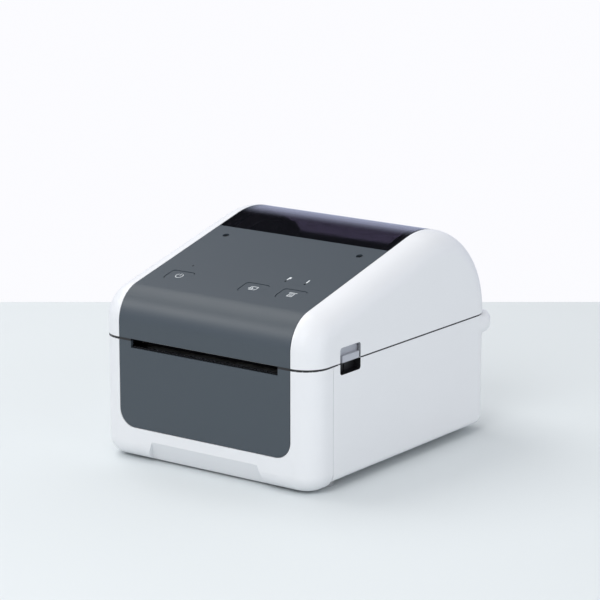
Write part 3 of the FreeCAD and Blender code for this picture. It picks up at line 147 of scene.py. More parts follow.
class PrinterFittings(bpy.types.PropertyGroup):
    """Sizes of the small fittings"""

    mark_line: length("Mark line", "Width of a line in the button marks", 0.00042)
    mark_lift: length("Mark lift", "Height of the printed marks above the surface", 0.00004)
    mark_size: length("Mark size", "Half width of a button mark", 0.0027)
    light_mark: length("Light mark", "Half length of the marks beside the lights", 0.0024)
    light_bold: factor("Light bold", "Line width of those marks against the button marks", 2.0)
    light_step: length("Light step", "Distance from a light to its mark", 0.0036)
    case_corner: length("Case corner", "Corner radius of the case seen from above", 0.017)
    crown: length("Crown", "Radius of the cover's rounded top", 0.0644)
    slot_width: length("Slot width", "Width of the label slot", 0.1236)
    # The lip is painted shade: a black strip in the joint between case and cover, so that the joint
    # reads dark
    shade_lip_width: length("Lip width", "Width of the dark lip on the case rim", 0.0016)
    shade_lip_proud: length("Lip proud", "How far the lip stands out from the case face", 0.00003)
    shade_lip_drop: length("Lip drop", "How far the lip overhangs the front bezel", 0.0006)
    shade_lip_height: length("Lip height", "Height of the dark lip above the rim", 0.00095)
    trim_width: length("Trim width", "Width of the black edge on the window", 0.0013)
    wall: length("Wall", "Thickness of the case and of the finger wells", 0.0025)
    lever_corner: length("Lever corner", "Corner radius of the openings for the levers", 0.002)
    rib_width: length("Rib width", "Width of a moulded rib", 0.0011)
    rib_height: length("Rib height", "Height of a moulded rib", 0.0006)
    ring_width: length("Ring width", "Width of the rings on a roll holder", 0.00154)
    ray_height: length("Ray height", "Height of the radial ribs on a roll holder", 0.00036)
    holder_ribs: count("Holder ribs", "Radial ribs on a roll holder", 12)
    deck_rib: length("Deck rib", "Height of the fine ribs that the label runs over", 0.00025)
    deck_ribs: count("Deck ribs", "Ribs that the label runs over", 11)
    knurls: count("Knurls", "Ridges round the guide dial", 40)
    lens: length("Lens", "Radius of the ring round the sensor's lens", 0.00165)
    head_margin: length("Head margin", "Bare end of the print head beside its heater", 0.0033)
    driver_setback: length("Driver setback", "From the head's rear to its driver cover", 0.0022)
    driver_width: length("Driver width", "Width of the driver cover", 0.00286)
    tongue: span("Tongue", "Half width and height of the tongue in the socket", (0.00264, 0.00165))
    cross_slot: length("Cross slot", "Half length of a screw's cross slot", 0.0012)
    cross_width: length("Cross width", "Width of a screw's cross slot", 0.0004)
    wire: length("Spring wire", "Thickness of the spring wire", 0.0008)
    spring_turns: count("Spring turns", "Turns in a spring", 9)


class PrinterStage(bpy.types.PropertyGroup):
    """Camera, floor and lights"""

    azimuth: angle("Azimuth", "Camera's turn round the printer", 36.32)
    elevation: angle("Elevation", "Camera's height angle", 14.17)
    distance: length("Distance", "Camera's distance from its aim", 1.85455)
    aim_height: length("Aim height", "Height of the point that the camera looks at", 0.074)
    lens: factor("Lens", "Focal length in millimetres", 160.317)
    sensor: factor("Sensor", "Width of the camera's sensor in millimetres", 36)
    shift_x: factor("Shift X", "Sideways shift of the frame", -0.00525)
    shift_y: factor("Shift Y", "Upward shift of the frame", 0.06078)
    floor_back: length("Floor back", "Distance from the printer to the floor's far edge", 0.413)
    floor_size: length("Floor size", "Width of the floor", 8.0)
    floor: colour("Floor", "Pale floor", (0.72, 0.76, 0.77))
    backdrop: colour("Backdrop", "White behind the floor", (0.97, 0.97, 1.0))
    key: power("Key", "Power of the main soft light", 10)
    key_spot: spot("Key place", "Where the main light stands", (0.30, -1.42, 1.22))
    key_size: span("Key size", "Width and height of the main light", (0.9, 0.8))
    fill: power("Fill", "Power of the side fill light", 4.4)
    fill_spot: spot("Fill place", "Where the side light stands", (1.6, -0.2, 0.7))
    fill_size: span("Fill size", "Width and height of the side light", (1.4, 1.4))
    fill_tint: colour("Fill tint", "Cool colour of the side light", (0.90, 0.94, 1.0))
    top: power("Top", "Power of the overhead light", 12)
    top_spot: spot("Top place", "Where the overhead light hangs", (-0.9, 0.05, 1.5))
    top_size: span("Top size", "Width and height of the overhead light", (1.3, 1.1))
    brow: power("Brow", "Power of the light that the front's bend mirrors", 10)
    brow_spot: spot("Brow place", "Where that light stands", (-1.08, -1.15, 1.10))
    brow_size: span("Brow size", "Width and height of that light", (0.9, 0.3))
    sky: factor("Sky", "Strength of the surrounding light", 0.66)
    mirror_tint: colour("Mirror tint", "Cool colour that polished faces mirror", (0.54, 0.60, 0.79))
    room_top: factor("Room top", "Brightness overhead that polished faces mirror", 0.06)
    room_ramp: FloatVectorProperty(
        name="Room ramp", description="Heights in the room between which that brightness falls",
        size=2, default=(0.30, 0.52))


# Shader helpers

def put(tree, kind, **values):
    """Adds a node; a value that is a socket is linked, any other is set as the input's default."""
    node = tree.nodes.new(kind)
    for name, value in values.items():
        if name in ("operation", "data_type", "blend_type", "distance"):
            setattr(node, name, value)
            continue
        socket = node.inputs[int(name[1:]) if name[0] == "_" else name.replace("_", " ")]
        if isinstance(value, bpy.types.NodeSocket):
            tree.links.new(value, socket)
        else:
            socket.default_value = value
    return node


def maths(tree, operation, *values):
    """Result of a sum on values or sockets."""
    inputs = {f"_{i}": value for i, value in enumerate(values)}
    return put(tree, "ShaderNodeMath", operation=operation, **inputs).outputs[0]


def remap(tree, value, source=(0.0, 1.0), target=(0.0, 1.0)):
    """Carries a value from one range over to another."""
    ends = zip(("From_Min", "From_Max", "To_Min", "To_Max"), (*source, *target))
    return put(tree, "ShaderNodeMapRange", Value=value, **dict(ends)).outputs[0]


def mix(tree, share, first, second, blend="MIX"):
    """Mixes two colours, each a value or a socket."""
    node = put(tree, "ShaderNodeMix", data_type="RGBA", blend_type=blend, _0=share, _6=first,
               _7=second)
    return node.outputs[2]


def tinted(tree, rgb, tone):
    """A plain colour made lighter and darker by a tone near one."""
    return mix(tree, 1.0, (*rgb, 1), tone, "MULTIPLY")


def own_place(tree):
    return tree.nodes.new("ShaderNodeTexCoord").outputs["Object"]


def group_shell(name, inputs, outputs):
    """An empty shader group with float inputs, given with their defaults, and float outputs."""
    tree = bpy.data.node_groups.new(name, "ShaderNodeTree")
    for label, default in inputs.items():
        socket = tree.interface.new_socket(label, in_out="INPUT", socket_type="NodeSocketFloat")
        socket.default_value = default
    for label in outputs:
        tree.interface.new_socket(label, in_out="OUTPUT", socket_type="NodeSocketFloat")
    return tree, tree.nodes.new("NodeGroupInput").outputs, tree.nodes.new("NodeGroupOutput").inputs


def moulded_grain():
    """Fine pebbled texture of a moulded face, with slow cloudy change in tone and gloss."""
    name = "Moulded grain"
    if name in bpy.data.node_groups:
        return bpy.data.node_groups[name]
    tree, given, result = group_shell(
        name, {"Scale": 1600.0, "Tone": 0.03, "Gloss": 0.06}, ("Tone", "Gloss", "Height"))
    place = own_place(tree)
    fine = put(tree, "ShaderNodeTexNoise", Vector=place, Scale=given["Scale"], Detail=2.0,
               Roughness=0.55)
    pits = put(tree, "ShaderNodeTexVoronoi", Vector=place, Scale=given["Scale"])
    cloud = put(tree, "ShaderNodeTexNoise", Vector=place, Scale=22.0, Detail=3.0)
    height = maths(tree, "MULTIPLY_ADD", pits.outputs["Distance"], 0.5, fine.outputs[0])
    centred = maths(tree, "SUBTRACT", cloud.outputs[0], 0.5)
    tone = maths(tree, "MULTIPLY_ADD", centred, given["Tone"], 1.0)
    tree.links.new(tone, result["Tone"])
    tree.links.new(maths(tree, "MULTIPLY", centred, given["Gloss"]), result["Gloss"])
    tree.links.new(height, result["Height"])
    return tree


def drawn_lines():
    """Fine parallel lines of drawn, turned or ground metal."""
    name = "Drawn lines"
    if name in bpy.data.node_groups:
        return bpy.data.node_groups[name]
    tree, given, result = group_shell(name, {"Scale": 900.0, "Stretch": 0.02}, ("Tone", "Height"))
    axes = put(tree, "ShaderNodeSeparateXYZ", Vector=own_place(tree)).outputs
    along = maths(tree, "MULTIPLY", axes[0], given["Stretch"])
    drawn = put(tree, "ShaderNodeCombineXYZ", _0=along, _1=axes[1], _2=axes[2])
    lines = put(tree, "ShaderNodeTexNoise", Vector=drawn.outputs[0], Scale=given["Scale"],
                Detail=3.0)
    tree.links.new(remap(tree, lines.outputs[0], target=(0.82, 1.12)), result["Tone"])
    tree.links.new(lines.outputs[0], result["Height"])
    return tree


def use_group(tree, group, **values):
    node = tree.nodes.new("ShaderNodeGroup")
    node.node_tree = group
    for name, value in values.items():
        node.inputs[name].default_value = value
    return node.outputs


def fresh_material(name):
    material = bpy.data.materials.new(name)
    material.use_nodes = True
    return material, material.node_tree, material.node_tree.nodes["Principled BSDF"].inputs


def bumped(tree, shader, height, strength, depth):
    bump = put(tree, "ShaderNodeBump", Strength=strength, Distance=depth, Height=height)
    tree.links.new(bump.outputs[0], shader["Normal"])


def moulded(name, rgb, rough, grain=1600.0, relief=0.12, tone=0.04, gloss=0.08):
    """Moulded plastic: grained, with a faint cloudiness in its colour and sheen."""
    material, tree, shader = fresh_material(name)
    texture = use_group(tree, moulded_grain(), Scale=grain, Tone=tone, Gloss=gloss)
    tree.links.new(tinted(tree, rgb, texture["Tone"]), shader["Base Color"])
    tree.links.new(maths(tree, "ADD", texture["Gloss"], rough), shader["Roughness"])
    bumped(tree, shader, texture["Height"], strength=relief, depth=0.00005)
    return material


def metal(name, rgb, rough, scale=900.0, stretch=0.02):
    """Bare metal with fine working lines along X."""
    material, tree, shader = fresh_material(name)
    texture = use_group(tree, drawn_lines(), Scale=scale, Stretch=stretch)
    tree.links.new(tinted(tree, rgb, texture["Tone"]), shader["Base Color"])
    shader["Metallic"].default_value = 1.0
    tree.links.new(maths(tree, "MULTIPLY", texture["Tone"], rough), shader["Roughness"])
    bumped(tree, shader, texture["Height"], strength=0.15, depth=0.00003)
    return material


def smoked(name, rgb, rough):
    """Tinted clear plastic with a hard polished face."""
    material, tree, shader = fresh_material(name)
    texture = use_group(tree, moulded_grain(), Scale=400.0, Tone=0.06, Gloss=0.04)
    tree.links.new(tinted(tree, rgb, texture["Tone"]), shader["Base Color"])
    tree.links.new(maths(tree, "ADD", texture["Gloss"], rough), shader["Roughness"])
    shader["Transmission Weight"].default_value = 1.0
    shader["IOR"].default_value = 1.49
    return material


def board_mask(name, rgb, rough):
    """Solder mask over a maze of copper tracks."""
    material, tree, shader = fresh_material(name)
    cells = put(tree, "ShaderNodeTexVoronoi", Vector=own_place(tree), Scale=240.0,
                distance="CHEBYCHEV").outputs["Distance"]
    tracks = remap(tree, cells, source=(0.25, 0.32), target=(0.8, 1.35))
    tree.links.new(tinted(tree, rgb, tracks), shader["Base Color"])
    shader["Roughness"].default_value = rough
    bumped(tree, shader, cells, strength=0.1, depth=0.00004)
    return material


def paper(name, rgb, rough):
    """Plain paper with a hardly visible cloudiness."""
    material, tree, shader = fresh_material(name)
    cloud = put(tree, "ShaderNodeTexNoise", Vector=own_place(tree), Scale=3.0, Detail=2.0)
    tone = remap(tree, cloud.outputs[0], target=(0.99, 1.01))
    tree.links.new(tinted(tree, rgb, tone), shader["Base Color"])
    shader["Roughness"].default_value = rough
    return material


def finishes():
    """Maker, material's name, colour and roughness of each finish; then a moulding's grain scale,
    relief, tone and gloss, or a metal's line scale and stretch, where they aren't the usual."""
    look = bpy.context.scene.printer_finish
    grain = 1 / look.grain_size
    return {
        "shell": (moulded, "shell_white", look.shell, 0.42, grain, 0.05, 0.02, 0.05),
        "slate": (moulded, "panel_slate", look.slate, 0.46, grain, 0.14, 0.05, 0.06),
        "smoke": (smoked, "window_smoke", look.smoke, 0.05),
        "lever": (moulded, "lever_grey", look.lever, 0.45, 1500, 0.06),
        # The inner black also paints shade: the rim lip and the edges of the finger wells
        "black": (moulded, "inner_black", look.black, 0.5, 1300, 0.15),
        "bay": (moulded, "bay_grey", look.bay, 0.5, 1300, 0.15),
        # The guide grey also paints shade on the edges of the lever openings
        "guide": (moulded, "guide_grey", look.guide, 0.45, 1500, 0.08),
        "acetal": (moulded, "gear_acetal", look.acetal, 0.35, 900, 0.04),
        "rubber": (moulded, "ground_rubber", (0.020, 0.020, 0.022), 0.78, 1800, 0.3, 0.1),
        "foot": (moulded, "foot_rubber", look.foot, 0.8, 1400, 0.25, 0.1),
        "steel": (metal, "drawn_steel", (0.55, 0.55, 0.56), 0.3),
        "dark_steel": (metal, "blackened_steel", (0.02, 0.02, 0.022), 0.38),
        "zinc": (metal, "zinc_can", (0.42, 0.42, 0.43), 0.42, 300, 0.3),
        "brass": (metal, "gear_brass", (0.62, 0.43, 0.16), 0.28),
        "alloy": (metal, "milled_alloy", (0.70, 0.71, 0.72), 0.34, 600, 0.01),
        "gold": (metal, "heater_gold", (0.70, 0.48, 0.14), 0.25),
        "ceramic": (moulded, "glazed_ceramic", (0.60, 0.56, 0.48), 0.22, 600, 0.03),
        "board": (board_mask, "solder_mask", look.board, 0.32),
        # The light-pipe black also paints the shade of the screws' cross slots
        "light": (moulded, "light_pipe", (0.004, 0.004, 0.005), 0.25, 900, 0.02),
        "gloss_black": (moulded, "trim_black", (0.006, 0.006, 0.008), 0.18, 900, 0.02),
        "glaze": (moulded, "heater_glaze", (0.16, 0.10, 0.05), 0.12, 900, 0.02),
        "ink": (moulded, "mark_white", look.print_white, 0.5, 2500, 0.02),
    }


MADE = {}


def finish_named(name):
    """The finish of that name, made the first time that it is asked for."""
    if name not in MADE:
        maker, *values = finishes()[name]
        MADE[name] = maker(*values)
    return MADE[name]


# Piece helpers

def dress(finish, *nodes, crease=CREASE):
    """Gives CAD pieces their finish, with round faces shaded smooth and corners kept crisp."""
    for node in nodes:
        item = NODES[node]
        item.data.materials.clear()
        item.data.materials.append(finish_named(finish))
        for face in item.data.polygons:
            face.use_smooth = True
        item.modifiers.new("Weld", "WELD").merge_threshold = WELD
        item.modifiers.new("Crease", "EDGE_SPLIT").split_angle = crease
        item.modifiers.new("Flats", "WEIGHTED_NORMAL").keep_sharp = True


def piece(name, bm, body, finish, smooth=True):
    """Turns a bmesh into a piece that rides on a body."""
    bmesh.ops.recalc_face_normals(bm, faces=bm.faces)
    mesh = bpy.data.meshes.new(name)
    for face in bm.faces:
        face.smooth = smooth
    bm.to_mesh(mesh)
    bm.free()
    mesh.materials.append(finish_named(finish))
    item = bpy.data.objects.new(name, mesh)
    bpy.context.scene.collection.objects.link(item)
    if smooth:
        item.modifiers.new("Crease", "EDGE_SPLIT").split_angle = CREASE
    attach(item, body)
    return item


def halfway(values):
    """Middle between the least and the greatest value."""
    values = list(values)
    return (min(values) + max(values)) / 2


def on_panel(centre):
    """Matrix from a flat drawing to the sloping panel, with its middle at centre."""
    turn = Matrix((ACROSS, PANEL_BACK, PANEL_OUT)).transposed().to_4x4()
    return Matrix.Translation(centre) @ turn


def top_of(node, low_x=-1.0, high_x=1.0):
    """Middle of a panel piece's outer face, between two X places."""
    points = [v.co for v in NODES[node].data.vertices if low_x <= v.co.x <= high_x]
    reach = max(p.dot(PANEL_OUT) for p in points)
    face = [p for p in points if p.dot(PANEL_OUT) > reach - WELD]
    across, back = (halfway(p.dot(way) for p in face) for way in (ACROSS, PANEL_BACK))
    return ACROSS * across + PANEL_BACK * back + PANEL_OUT * reach


def edges_at(verts):
    """Edges that meet some vertices, each once and in a steady order."""
    return list(dict.fromkeys(edge for vert in verts for edge in vert.link_edges))


def round_off(bm, geom, radius, steps=EDGE_STEPS, affect="EDGES"):
    bmesh.ops.bevel(
        bm, geom=geom, offset=radius, segments=steps, profile=0.5, affect=affect, material=-1)


def raise_faces(bm, faces, height):
    """Extrudes flat faces upwards and gives back the raised ones."""
    made = bmesh.ops.extrude_face_region(bm, geom=faces)["geom"]
    verts = [part for part in made if isinstance(part, bmesh.types.BMVert)]
    bmesh.ops.translate(bm, verts=verts, vec=(0, 0, height))
    return [part for part in made if isinstance(part, bmesh.types.BMFace)]


def block(bm, low, high, radius):
    """A box between two corners, with its edges rounded."""
    low, high = Vector(low), Vector(high)
    made = bmesh.ops.create_cube(bm, size=1.0)["verts"]
    bmesh.ops.scale(bm, verts=made, vec=high - low)
    bmesh.ops.translate(bm, verts=made, vec=(low + high) / 2)
    round_off(bm, edges_at(made), radius)


def bar(bm, start, end, up, width, height):
    """A straight rib from start to end that stands on its line towards up."""
    start, end, up = Vector(start), Vector(end), Vector(up).normalized()
    along = (end - start).normalized()
    made = bmesh.ops.create_cube(bm, size=1.0)["verts"]
    bmesh.ops.scale(bm, verts=made, vec=((end - start).length, width, height))
    turn = Matrix((along, up.cross(along), up)).transposed().to_4x4()
    place = Matrix.Translation((start + end) / 2 + up * height / 2)
    bmesh.ops.transform(bm, verts=made, matrix=place @ turn)
    raised = {vert for vert in made if (vert.co - start).dot(up) > height / 2}
    round_off(bm, [edge for edge in edges_at(made) if raised.issuperset(edge.verts)], height / 4)


def bead(bm, centre, axis, radius, width, height):
    """A round-topped ring that stands on a flat face."""
    axis = Vector(axis).normalized()
    side = axis.orthogonal().normalized()
    turns = [math.pi * i / BEAD_STEPS for i in range(BEAD_STEPS + 1)]
    outline = [side * (radius + width / 2 * math.cos(t)) + axis * (height * math.sin(t))
               for t in turns]
    verts = [bm.verts.new(Vector(centre) + point) for point in outline + outline[:1]]
    edges = [bm.edges.new(pair) for pair in zip(verts, verts[1:])]
    bmesh.ops.spin(bm, geom=verts + edges, cent=centre, axis=axis, angle=math.tau,
                   steps=ROUND_STEPS, use_merge=True)
    bmesh.ops.remove_doubles(bm, verts=bm.verts, dist=HAIR)


def coil(bm, centre, axis, radius, wire, run, turns, per_turn=20, sides=8):
    """A wire helix of a whole length round an axis, with its middle at centre."""
    side = axis.orthogonal().normalized()
    steps = turns * per_turn
    ring = bmesh.ops.create_circle(bm, segments=sides, radius=wire / 2, cap_ends=True)["verts"]
    turn = Matrix((side, axis, side.cross(axis))).transposed().to_4x4()
    place = Matrix.Translation(centre + axis * (wire - run) / 2 + side * radius)
    bmesh.ops.transform(bm, verts=ring, matrix=place @ turn)
    section = list(ring) + edges_at(ring) + list(ring[0].link_faces)
    bmesh.ops.spin(bm, geom=section, cent=centre, axis=axis, dvec=axis * (run - wire) / steps,
                   angle=math.tau * turns, steps=steps)


def strip(bm, run, across, lifts):
    """A bar along (point, out) places, between two X places and two heights above the points."""
    near, far = across
    low, high = lifts
    corners = ((near, low), (far, low), (far, high), (near, high))
    rings = [[bm.verts.new(ACROSS * x + point + out * lift) for x, lift in corners]
             for point, out in run]
    for first, second in zip(rings, rings[1:]):
        for k in range(4):
            after = (k + 1) % 4
            bm.faces.new((first[k], first[after], second[after], second[k]))
    bm.faces.new(rings[0])
    bm.faces.new(rings[-1])


# Printed marks, drawn for a half width of one: the points of each line, and whether it closes

SHARPEST_MITRE = 0.4


def arc(start, end, steps=20):
    """Points on a circle between two angles in degrees."""
    turns = [math.radians(start + (end - start) * i / steps) for i in range(steps + 1)]
    return [(math.cos(t), math.sin(t)) for t in turns]


POWER_SIGN = (
    (arc(125, 415), False),
    (((0, 0.15), (0, 1.15)), False),
)
FEED_SIGN = (
    (((-1, -0.8), (0.55, -0.8), (1, -0.3), (1, 0.8), (-1, 0.8)), True),
    (((-1.5, -0.1), (-0.1, -0.1)), False),
    (((-0.55, 0.35), (-0.1, -0.1), (-0.55, -0.55)), False),
)
PRINT_SIGN = (
    (((-0.7, -1), (0.7, -1), (0.7, 0.45), (-0.7, 0.45)), True),
    (((-1.25, 0.9), (1.25, 0.9)), False),
    (((-0.4, -0.55), (0.4, -0.55)), False),
    (((-0.4, -0.1), (0.4, -0.1)), False),
)
ALERT_SIGN = (
    (((0, -0.7), (0, 1)), False),
)
STATUS_SIGN = (
    *ALERT_SIGN,
    (((0.4, 0), (0.4, 1)), False),
)

# Which part of the row of lights each mark's light is in, from the row's right end
LIGHT_SHARES = {"alert_mark": (0.05, 0.0), "status_mark": (0.25, 0.1)}


def line_mark(bm, points, width, closed):
    """A flat printed line through points, with mitred corners, lying in the XY plane."""
    points = [Vector((*p, 0)) for p in points]
    last = len(points) - 1
    sides = []
    for i, point in enumerate(points):
        before = points[i - 1] if closed or i else point
        after = points[(i + 1) % len(points)] if closed or i < last else point
        runs = [(b - a).normalized() for a, b in ((before, point), (point, after))
                if (b - a).length > HAIR]
        normal = sum((Vector((-r.y, r.x, 0)) for r in runs), Vector()).normalized()
        square = Vector((-runs[0].y, runs[0].x, 0))
        reach = width / 2 / max(SHARPEST_MITRE, normal.dot(square))
        sides.append((bm.verts.new(point + normal * reach), bm.verts.new(point - normal * reach)))
    for (a, b), (c, d) in zip(sides, sides[1:] + (sides[:1] if closed else [])):
        bm.faces.new((a, b, d, c))


class PRINTER_OT_case(bpy.types.Operator):
    """White case, cover and their dark panels"""

    bl_idname = "printer.case"
    bl_label = "Case and panels"

    def execute(self, context):
        dress("shell", "lower_case", "cover_shell")
        dress("shell", "front_bezel", crease=CREASE / 2)
        dress("slate", "front_panel", "control_panel", "power_button", "feed_button",
              "print_button")
        dress("smoke", "window")
        dress("lever", "release_lever_left", "release_lever_right")
        dress("foot", "feet")
        dress("light", "light_pipes")
        dress("dark_steel", "panel_screws", "case_screws", "tear_bar")
        dress("black", "cover_rim")
        return {"FINISHED"}


class PRINTER_OT_inside(bpy.types.Operator):
    """Chassis, roll holders, drive and print head"""

    bl_idname = "printer.inside"
    bl_label = "Inner pieces"

    def execute(self, context):
        dress("black", "finger_well_left", "finger_well_right", "side_plate_left",
              "side_plate_right", "media_deck", "rack_tray", "cover_liner", "head_carrier",
              "hinge_arm_left", "hinge_arm_right", "holder_left", "holder_right",
              "latch_hook_left", "latch_hook_right", "sensor_carriage", "power_inlet",
              "head_bracket")
        dress("bay", "media_trough")
        dress("guide", "guide_left", "guide_right", "guide_dial")
        dress("acetal", "platen_gear", "idler_gear", "holder_pinion", "platen_bush_left",
              "platen_bush_right")
        dress("rubber", "platen_sleeve")
        dress("steel", "hinge_pins", "latch_pins", "idler_post", "platen_shaft", "motor_shaft",
              "latch_shaft", "usb_socket")
        dress("zinc", "drive_motor")
        dress("brass", "motor_pinion")
        dress("alloy", "head_heatsink")
        dress("ceramic", "print_head")
        dress("board", "main_board", "switch_board")
        return {"FINISHED"}


class PRINTER_OT_springs(bpy.types.Operator):
    """Wound springs of the print head and the latch"""

    bl_idname = "printer.springs"
    bl_label = "Springs"

    def execute(self, context):
        sizes = context.scene.printer_fittings
        for node, way in (
            ("head_spring_left", UP), ("head_spring_right", UP), ("latch_spring", ACROSS),
        ):
            low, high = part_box(node)
            middle = (low + high) / 2
            radius = (high.y - low.y - sizes.wire) / 2
            bm = bmesh.new()
            coil(bm, middle, way, radius, sizes.wire, (high - low).dot(way), sizes.spring_turns)
            spring = piece(node.replace("spring", "coil"), bm, "cover", "steel")
            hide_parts(node)
            if way == UP:
                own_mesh(spring)
        return {"FINISHED"}


class PRINTER_OT_marks(bpy.types.Operator):
    """Printed marks on the buttons and beside the lights"""

    bl_idname = "printer.marks"
    bl_label = "Button marks"

    def mark(self, name, centre, body, sign, size, bold=1.0):
        sizes = bpy.context.scene.printer_fittings
        bm = bmesh.new()
        for points, closed in sign:
            scaled = [(x * size, y * size) for x, y in points]
            line_mark(bm, scaled, sizes.mark_line * bold, closed)
        raise_faces(bm, bm.faces[:], sizes.mark_lift)
        bmesh.ops.transform(bm, verts=bm.verts, matrix=on_panel(centre))
        piece(name, bm, body, "ink", smooth=False)

    def execute(self, context):
        sizes = context.scene.printer_fittings
        for key, sign in (("power", POWER_SIGN), ("feed", FEED_SIGN), ("print", PRINT_SIGN)):
            self.mark(key + "_mark", top_of(key + "_button"), key + "_key", sign, sizes.mark_size)
        low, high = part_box("light_pipes")
        row = high.x - low.x
        for name, sign in (("alert_mark", ALERT_SIGN), ("status_mark", STATUS_SIGN)):
            start, end = (high.x - row * share for share in LIGHT_SHARES[name])
            centre = top_of("light_pipes", start, end) + PANEL_BACK * sizes.light_step
            self.mark(name, centre, "cover", sign, sizes.light_mark, sizes.light_bold)
        return {"FINISHED"}


class PRINTER_OT_rim_lip(bpy.types.Operator):
    """Black lip on the case rim: painted shade, so that the joint under the cover reads dark"""

    bl_idname = "printer.rim_lip"
    bl_label = "Rim lip"

    def band(self, bm, low, high, corner, width):
        """A flat band along the inside of a round-cornered rectangle."""
        corners = ((low.x, low.y), (high.x, low.y), (high.x, high.y), (low.x, high.y))
        bm.faces.new([bm.verts.new((x, y, low.z)) for x, y in corners])
        round_off(bm, bm.verts[:], corner, CASE_STEPS, "VERTICES")
        inner = bm.faces[:]
        bmesh.ops.inset_region(
            bm, faces=inner, thickness=width, use_boundary=True, use_even_offset=True)
        bmesh.ops.delete(bm, geom=inner, context="FACES")

    def cut(self, bm, low, high):
        """Takes the rectangle between two corners out of a flat band."""
        low, high = Vector((*low, 0)), Vector((*high, 0))
        for place, way in ((low, ACROSS), (high, ACROSS), (low, BACK), (high, BACK)):
            everything = bm.verts[:] + bm.edges[:] + bm.faces[:]
            bmesh.ops.bisect_plane(bm, geom=everything, plane_co=place, plane_no=way)
        middles = {face: face.calc_center_median() for face in bm.faces}
        inside = [face for face, at in middles.items()
                  if low.x < at.x < high.x and low.y < at.y < high.y]
        bmesh.ops.delete(bm, geom=inside, context="FACES")

    def execute(self, context):
        sizes = context.scene.printer_fittings
        case_low, case_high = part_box("lower_case")
        well_low, well_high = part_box("finger_well_right")
        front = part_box("front_bezel")[0].y
        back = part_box("cover_shell")[1].y
        proud, reach = sizes.shade_lip_proud, sizes.case_corner
        low = Vector((case_low.x - proud, front - proud, case_high.z))
        high = Vector((case_high.x + proud, back - sizes.wall / 2, case_high.z))
        half_slot = sizes.slot_width / 2
        bm = bmesh.new()
        self.band(bm, low, high, sizes.case_corner + proud, sizes.shade_lip_width)
        self.cut(bm, (-half_slot, front - reach), (half_slot, front + reach))
        self.cut(bm, (case_low.x - reach, well_low.y), (case_high.x + reach, well_high.y))
        self.cut(bm, (case_low.x, back - sizes.shade_lip_width * 2), (case_high.x, back + reach))
        # At the front the painted shade hangs lower over the bezel, so the dark joint there is
        # thicker
        hanging = [vert for vert in bm.verts if vert.co.y < well_low.y]
        raise_faces(bm, bm.faces[:], sizes.shade_lip_height)
        for vert in hanging:
            vert.co.z -= sizes.shade_lip_drop * (well_low.y - vert.co.y) / (well_low.y - front)
        piece("rim_lip", bm, "base", "black", smooth=False)
        return {"FINISHED"}


class PRINTER_OT_window_trim(bpy.types.Operator):
    """Black edges of the window, along the white shell"""

    bl_idname = "printer.window_trim"
    bl_label = "Window trim"

    def execute(self, context):
        sizes = context.scene.printer_fittings
        low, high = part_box("window")
        centre = Vector((0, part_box("cover_shell")[1].y - sizes.crown, high.z - sizes.crown))
        start = math.atan2(PANEL_OUT.z, PANEL_OUT.y)
        end = math.asin((low.z - centre.z) / sizes.crown)
        turns = [start + (end - start) * i / CROWN_STEPS for i in range(CROWN_STEPS + 1)]
        outs = [Vector((0, math.cos(t), math.sin(t))) for t in turns]
        run = [(centre + out * sizes.crown, out) for out in outs]
        first = run[0][0]
        run.insert(0, (first - PANEL_BACK * ((first.y - low.y) / PANEL_BACK.y), PANEL_OUT))
        for side, edge in (("left", low.x), ("right", high.x)):
            across = (edge, edge - math.copysign(sizes.trim_width, edge))
            bm = bmesh.new()
            strip(bm, run, across, (sizes.mark_lift, -sizes.rib_height))
            piece("window_trim_" + side, bm, "cover", "gloss_black")
        return {"FINISHED"}


class PRINTER_OT_finger_wells(bpy.types.Operator):
    """Painted shade on the cut edges of the side openings, black in the finger wells and dark grey
    round the levers; and the rib in each finger well
    """

    bl_idname = "printer.finger_wells"
    bl_label = "Finger wells"

    def edge(self, low_y, high_y, end, turn_z, corner):
        """Places along three sides of an opening, from one end round its corners to the other."""
        up = math.copysign(1, turn_z - end)
        run = [(Vector((0, low_y, end)), BACK)]
        for centre_y, start in ((low_y + corner, math.pi), (high_y - corner, math.pi / 2)):
            for i in range(OPENING_STEPS + 1):
                turn = start - math.pi / 2 * i / OPENING_STEPS
                out = Vector((0, math.cos(turn), up * math.sin(turn)))
                run.append((Vector((0, centre_y, turn_z - up * corner)) + out * corner, -out))
        run.append((Vector((0, high_y, end)), -BACK))
        return run

    def execute(self, context):
        sizes = context.scene.printer_fittings
        case_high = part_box("lower_case")[1]
        face, rim = case_high.x, case_high.z
        cover_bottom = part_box("cover_shell")[0].z
        lever_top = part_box("release_lever_right")[1].z - sizes.wall
        shade_skin = (0, sizes.mark_lift)
        for side, sign in (("left", -1), ("right", 1)):
            low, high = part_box("finger_well_" + side)
            near, far = low.y + sizes.wall, high.y - sizes.wall
            bottom = low.z + sizes.wall
            middle = (near + far) / 2
            inner = low.x + sizes.wall if sign > 0 else high.x - sizes.wall
            across = (sign * (face - sizes.wall), sign * (face - sizes.mark_lift))
            # Painted shade: a black skin on the cut faces of the finger well, where shade falls
            bm = bmesh.new()
            strip(bm, self.edge(near, far, rim, bottom, sizes.lever_corner), across, shade_skin)
            bar(bm, (inner, middle, bottom), (inner, middle, rim - sizes.shade_lip_height),
                ACROSS * sign, sizes.rib_width, sizes.rib_height)
            piece("finger_edge_shade_" + side, bm, "base", "black")
            # Painted shade: a dark grey skin on the cut faces of the lever opening in the cover
            bm = bmesh.new()
            strip(bm, self.edge(near, far, cover_bottom, lever_top, sizes.lever_corner), across,
                  shade_skin)
            piece("lever_edge_shade_" + side, bm, "cover", "guide")
        return {"FINISHED"}


